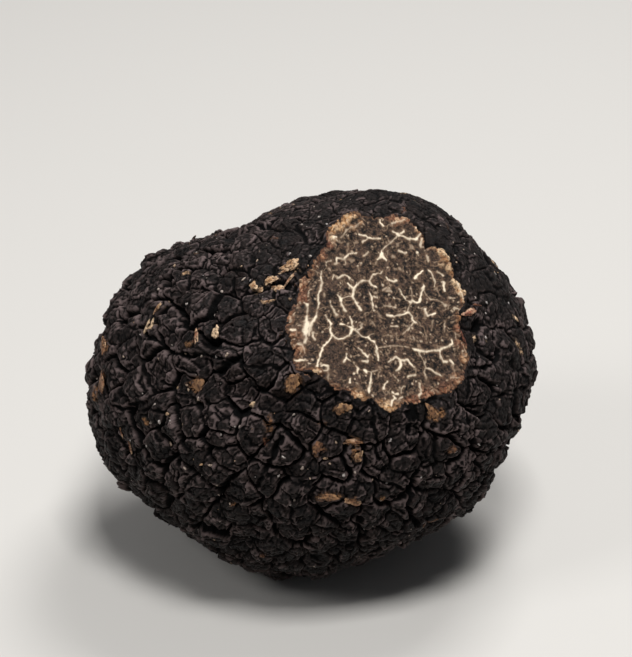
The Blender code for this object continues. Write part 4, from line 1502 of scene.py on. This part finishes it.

# %% [markdown]
# ## Flakes and grains of soil
#
# Here and there a scale of the crust has lifted, and its tan underside catches the light over a dark gap.
# Grains of pale sand still stick to the skin. Both are loose, and each kind is a mesh of its own. A flake
# is a ball's grid, pressed flat, arched and given a ragged outline, and a grain is the same with hardly
# any flattening. Those of the photograph are placed one by one, and a seeded draw adds more all round.

# %% Where flakes and grains lie
# Wide and long are half sizes, turn is the long side's angle in the picture, and lift raises one end.
# Light runs from dark brown to cream, and the cream end is partly a painted highlight
Flake = namedtuple("Flake", "x y wide long turn lift red light")
FLAKES = (
    Flake(291, 265, 0.66, 0.86, 25, 0.25, 0.35, 0.68),
    Flake(285, 272, 0.16, 0.50, 20, 0.10, 0.55, 0.70),
    Flake(289, 280, 0.13, 0.85, 52, 0.05, 0.65, 0.70),
    Flake(270, 280, 0.62, 0.70, -55, 0.20, 0.35, 0.70),
    Flake(277, 287, 0.42, 0.55, -25, 0.10, 0.40, 0.68),
    Flake(254, 286, 0.34, 0.58, -60, 0.15, 0.30, 0.75),
    Flake(261, 289, 0.24, 0.36, 40, 0.10, 0.30, 0.75),
    Flake(267, 302, 0.11, 0.90, 8, 0.05, 0.60, 0.65),
    Flake(468, 313, 0.34, 1.00, 14, 0.30, 1.00, 0.64),
    Flake(474, 306, 0.10, 0.55, -12, 0.15, 0.85, 0.30),
    Flake(464, 341, 0.16, 1.30, -66, 0.05, 1.10, 0.32),
    Flake(519, 350, 0.50, 1.05, 72, 0.15, 0.45, 0.68),
    Flake(435, 414, 0.55, 1.30, -38, 0.20, 0.50, 0.40),
    Flake(147, 328, 0.20, 0.95, 52, 0.15, 0.25, 1.10),
    Flake(152, 326, 0.20, 0.95, 55, 0.15, 0.30, 1.10),
    Flake(158, 309, 0.22, 0.75, 40, 0.10, 0.60, 0.60),
    Flake(198, 336, 0.22, 0.80, 82, 0.10, 0.85, 0.75),
    Flake(217, 332, 0.36, 0.55, 70, 0.15, 0.20, 1.00),
    Flake(101, 385, 0.75, 1.60, 70, 0.10, 0.65, 0.50),
    Flake(107, 346, 0.70, 0.95, 82, 0.10, 0.65, 0.50),
    Flake(119, 430, 0.12, 1.00, -72, 0.05, 0.70, 0.60),
    Flake(125, 449, 0.16, 1.00, -70, 0.05, 0.75, 0.60),
    Flake(252, 405, 0.26, 0.46, 30, 0.15, 0.15, 0.95),
    Flake(329, 496, 0.34, 0.95, 0, 0.10, 0.50, 0.45),
    Flake(353, 502, 0.34, 0.95, -8, 0.15, 0.60, 0.62),
    Flake(355, 444, 0.30, 0.90, 6, 0.15, 0.65, 0.56),
    Flake(358, 456, 0.36, 0.60, 70, 0.15, 0.45, 0.60),
    Flake(318, 447, 0.42, 0.75, 75, 0.05, 0.60, 0.35),
    Flake(325, 459, 0.22, 0.30, 0, 0.05, 0.40, 0.80),
    Flake(270, 423, 0.34, 1.00, 62, 0.10, 0.70, 0.62),
    Flake(265, 443, 0.34, 0.65, 85, 0.10, 1.00, 0.66),
    Flake(292, 384, 0.60, 0.95, 60, 0.15, 0.40, 0.35),
    Flake(197, 386, 0.70, 0.90, -40, 0.10, 0.45, 0.35),
    Flake(343, 408, 0.50, 0.75, 20, 0.10, 0.40, 0.40),
    Flake(475, 340, 0.26, 0.50, 80, 0.20, 0.15, 0.95),
    Flake(517, 318, 0.22, 0.40, -60, 0.10, 0.15, 0.90),
)
Grain = namedtuple("Grain", "size spots")  # grains of about one size in millimetres across
GRAINS = (
    Grain(0.48, (
        (199, 399), (181, 352), (228, 355), (159, 422),
        (167, 414), (141, 314), (290, 299), (326, 459),
    )),
    Grain(0.42, (
        (141, 335), (219, 289), (215, 356), (243, 279),
        (157, 358), (284, 456), (302, 468), (278, 477),
    )),
    Grain(0.42, (
        (310, 479), (290, 503), (336, 443), (383, 502),
        (187, 385), (187, 390), (327, 228), (310, 255),
    )),
    Grain(0.36, (
        (159, 290), (185, 303), (242, 267), (257, 260),
        (302, 225), (146, 446), (168, 445), (235, 426),
    )),
    Grain(0.36, (
        (238, 428), (233, 463), (220, 435), (168, 445),
        (212, 464), (373, 482), (344, 476), (391, 441),
    )),
    Grain(0.34, (
        (422, 478), (365, 532), (369, 411), (350, 412),
        (458, 261), (456, 255), (487, 313), (461, 333),
    )),
    Grain(0.34, (
        (485, 338), (493, 340), (511, 302), (475, 298),
        (494, 275), (418, 202), (319, 217), (274, 562),
    )),
    Grain(0.32, (
        (314, 564), (215, 487), (476, 503), (456, 452),
        (188, 274), (197, 253), (213, 314), (228, 507),
    )),
)
WILD_FLAKES = 26  # more of both all round, by a seeded draw
WILD_GRAINS = 330
LOWEST_FLAKE = -17.0  # heights over the body's middle
LOWEST_GRAIN = -18.5
FLAKE_THICKNESS = 0.11  # half of it
ANGLE_STEP = 3  # pixels to each side, to read a way along the skin from
FLAKE_SQUARES = 8  # squares along each edge of a flake's ball grid
GRAIN_SQUARES = 2


# %% Flakes and grains as surfaces
def turned_from_level(middles, turns):
    """At each spot on the skin, a way along the skin that is turned from level by an angle in degrees."""
    outward = unit(middles)
    level = unit(np.cross(np.array([0.0, 0.0, 1.0]), outward))
    rise = np.cross(outward, level)
    turns = np.radians(turns)[:, None]
    return np.cos(turns) * level + np.sin(turns) * rise


def along_in_picture(placed):
    """The way along the skin that looks turned by each flake's angle in the picture, by two nearby rays."""
    spots = np.array([(flake.x, flake.y) for flake in placed], float)
    turns = np.radians([flake.turn for flake in placed])
    step = ANGLE_STEP * np.stack([np.cos(turns), -np.sin(turns)], axis=1)
    return unit(on_body(spots + step) - on_body(spots - step))


def lumps(middles, along, sizes, lifts, ragged, squares, seed):
    """One grid ball for each spot, stacked into arrays of points and faces. Long, wide and thick stretch
    it. Its outline is pulled in and out by noise, its middle is arched, and its far end is lifted."""
    ball, quads = ball_grid(squares)
    outward = unit(middles)
    along = unit(along - (along * outward).sum(axis=1)[:, None] * outward)
    aside = np.cross(outward, along)
    where = (middles[:, None] + ball[None] * 0.7).reshape(-1, 3)
    edge = 1 + ragged * (0.8 * noise(where, 0.75, seed) + 0.5 * noise(where, 0.35, seed + 1))
    edge = edge.reshape(len(middles), -1)
    flat = ball[None] * sizes[:, None, :] * np.stack([edge, edge, np.ones_like(edge)], axis=2)
    arch = -0.20 * (ball[None, :, 1] ** 2) * sizes[:, None, 1] + lifts[:, None] * (ball[None, :, 0] + 0.6)
    height = flat[..., 2] + arch
    points = middles[:, None] + flat[..., :1] * along[:, None] + flat[..., 1:2] * aside[:, None]
    points = points + height[..., None] * outward[:, None]
    faces = quads[None] + (np.arange(len(middles)) * len(ball))[:, None, None]
    return points.reshape(-1, 3), faces.reshape(-1, 4)


def on_skin(middles, proud):
    """The spots moved straight out or in, until they are proud millimetres over the real skin."""
    ways = unit(middles)
    return ways * (skin_at(ways).radius + proud)[:, None]


def wild_ways(count, seed, lowest):
    """Seeded directions all round the skin, but not on the cut nor near the floor."""
    ways = unit(np.random.default_rng(seed).normal(size=(4 * count, 3)))
    reach = body_radius(ways)
    free = (reach + 0.6 < cut_radius(ways)) & (ways[:, 2] * reach > lowest)
    return ways[free][:count]


def repeat_each(values, squares):
    """One value for each lump, handed to all of its points."""
    return np.repeat(values, len(ball_grid(squares)[0]))


# %% The flakes
flake_random = np.random.default_rng(31)
wild_flakes = wild_ways(4 * WILD_FLAKES, 33, LOWEST_FLAKE)
wild_flakes = wild_flakes[wild_flakes @ backwards < -0.15][:WILD_FLAKES]
flake_count = len(FLAKES) + len(wild_flakes)
flake_middles = np.concatenate([on_body([(f.x, f.y) for f in FLAKES]), wild_flakes])
wild_along = turned_from_level(wild_flakes, flake_random.uniform(0, 180, len(wild_flakes)))
flake_along = np.concatenate([along_in_picture(FLAKES), wild_along])
flake_sizes = np.concatenate([
    [(f.long, f.wide, FLAKE_THICKNESS) for f in FLAKES],
    np.stack([
        flake_random.uniform(0.4, 1.3, len(wild_flakes)),
        flake_random.uniform(0.15, 0.5, len(wild_flakes)),
        np.full(len(wild_flakes), FLAKE_THICKNESS),
    ], axis=1),
])
flake_middles = on_skin(flake_middles, 0.02 + 0.14 * flake_sizes[:, 1])
flake_lifts = np.concatenate([[f.lift for f in FLAKES], flake_random.uniform(0.0, 0.12, len(wild_flakes))])
flake_reds = np.concatenate([[f.red for f in FLAKES], flake_random.uniform(0.2, 0.9, len(wild_flakes))])
flake_lightness_and_highlight_levels = np.concatenate([[f.light for f in FLAKES], flake_random.uniform(0.3, 0.8, len(wild_flakes))])
flake_points, flake_faces = lumps(
    flake_middles, flake_along, flake_sizes, flake_lifts, 1.1, FLAKE_SQUARES, 180
)

# %% The grains
grain_random = np.random.default_rng(37)
grain_spots = [spot for grain in GRAINS for spot in grain.spots]
wild_grains = wild_ways(WILD_GRAINS, 39, LOWEST_GRAIN)
grain_middles = on_skin(np.concatenate([on_body(grain_spots), wild_grains]), 0.0)
grain_widths = np.concatenate([
    [0.42 * grain.size for grain in GRAINS for _ in grain.spots],
    0.05 + 0.13 * grain_random.uniform(0, 1, len(wild_grains)) ** 2.5,
])
grain_count = len(grain_middles)
grain_stretch = grain_random.uniform(0.55, 1.2, size=(grain_count, 3)) * np.array([1.4, 1, 0.8])
grain_sizes = grain_widths[:, None] * grain_stretch
grain_along = turned_from_level(grain_middles, grain_random.uniform(0, 180, grain_count))
grain_points, grain_faces = lumps(
    grain_middles, grain_along, grain_sizes, np.zeros(grain_count), 1.2, GRAIN_SQUARES, 190
)


# %% Their materials
def flake_material():
    nodes = Nodes("truffle_flake")
    dots = nodes.noise(0.28, detail=3.0)
    colour = nodes.mix(nodes.span(nodes.mask("red"), 0.2, 0.6), paint(170, 130, 90), paint(142, 102, 70))
    colour = nodes.mix(nodes.span(nodes.mask("red"), 0.6, 1.0), colour, paint(152, 92, 72))
    # Low lightness turns a flake dark brown, high lightness turns it cream, partly a painted highlight.
    colour = nodes.mix(nodes.span(nodes.mask("light"), 0.0, 0.5, 0.85, 0.0), colour, paint(58, 40, 30))
    colour = nodes.mix(nodes.span(nodes.mask("light"), 0.5, 1.0, 0.0, 0.85), colour, paint(234, 204, 168))
    colour = nodes.mix(nodes.span(dots, 0.46, 0.60, 0.0, 0.85), colour, paint(52, 32, 22))
    nodes.put(nodes.shader.inputs["Base Color"], colour)
    nodes.put(nodes.shader.inputs["Roughness"], nodes.span(dots, 0.3, 0.7, 0.5, 0.8))
    nodes.shader.inputs["Specular IOR Level"].default_value = 0.3
    nodes.bump(dots, 0.08, 1.0)
    return nodes.material


def grain_material():
    nodes = Nodes("sand_grain")
    colour = nodes.mix(nodes.mask("warm"), paint(178, 172, 168), paint(176, 140, 102))
    colour = nodes.mix(nodes.span(nodes.noise(0.22), 0.42, 0.60, 0.0, 0.7), colour, paint(74, 60, 50))
    nodes.put(nodes.shader.inputs["Base Color"], colour)
    nodes.put(nodes.shader.inputs["Roughness"], nodes.span(nodes.noise(0.4), 0.3, 0.7, 0.3, 0.6))
    return nodes.material


flake_ball = ball_grid(FLAKE_SQUARES)[0]
edge_share = np.tile(np.hypot(flake_ball[:, 0], flake_ball[:, 1]), flake_count)
flake_lightness_and_painted_light = repeat_each(flake_lightness_and_highlight_levels, FLAKE_SQUARES) + 0.30 * (edge_share - 0.8)
flake_lightness_and_painted_light = flake_lightness_and_painted_light + 0.35 * noise(flake_points, 0.5, 185)
flake_red = repeat_each(flake_reds, FLAKE_SQUARES) + 0.30 * noise(flake_points, 0.7, 186)
flake_masks = {"red": flake_red, "light": flake_lightness_and_painted_light}
grain_masks = {"warm": repeat_each(grain_random.uniform(0, 1, grain_count) ** 1.5, GRAIN_SQUARES)}
flakes = make_piece("lifted_flakes", flake_points, flake_faces, flake_masks, flake_material())
grains = make_piece("soil_grains", grain_points, grain_faces, grain_masks, grain_material())
for extra in (flakes, grains):
    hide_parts("truffle")

# %% [markdown]
# ## Floor and light
#
# The truffle stands on a plain pale floor that runs on past the picture's top, so no horizon crosses it. A
# dark thing needs broad lights, because what the eye reads is their reflection on the facets. The key
# light hangs high over the front, a second one comes from the left, and a third skims the top from behind.

# %% The floor
FLOOR_SIZE = 4.0
floor_mesh = bpy.data.meshes.new("floor")
half = FLOOR_SIZE / 2
floor_corners = [(-half, -half, 0), (half, -half, 0), (half, half, 0), (-half, half, 0)]
floor_mesh.from_pydata(floor_corners, [], [(0, 1, 2, 3)])
floor = bpy.data.objects.new("floor", floor_mesh)
bpy.context.scene.collection.objects.link(floor)
floor_nodes = Nodes("floor_paper")
floor_nodes.shader.inputs["Base Color"].default_value = paint(206, 203, 198)
floor_nodes.shader.inputs["Roughness"].default_value = 0.9
floor_mesh.materials.append(floor_nodes.material)

# %% The lights
Light = namedtuple("Light", "name azimuth elevation distance size watts")
LIGHTS = (
    Light("key_light", -78, 70, 0.50, 0.14, 1.9),
    Light("side_light", -150, 42, 0.60, 0.18, 0.75),
    Light("top_light", 60, 60, 0.55, 0.22, 1.8),
)
for light in LIGHTS:
    lamp_data = bpy.data.lights.new(light.name, "AREA")
    lamp_data.size = light.size
    lamp_data.energy = light.watts
    lamp = bpy.data.objects.new(light.name, lamp_data)
    towards = direction(light.azimuth, light.elevation)
    lamp.location = MIDDLE * METRES + towards * light.distance
    turn, rise = math.radians(light.azimuth), math.radians(light.elevation)
    lamp.rotation_euler = (math.pi / 2 - rise, 0, turn + math.pi / 2)
    bpy.context.scene.collection.objects.link(lamp)
    print(light.name, light.watts, "W")

world = bpy.data.worlds.new("studio")
world.use_nodes = True
world.node_tree.nodes["Background"].inputs["Color"].default_value = paint(235, 238, 245)
world.node_tree.nodes["Background"].inputs["Strength"].default_value = 0.10
bpy.context.scene.world = world
bpy.context.scene.view_settings.view_transform = "Standard"
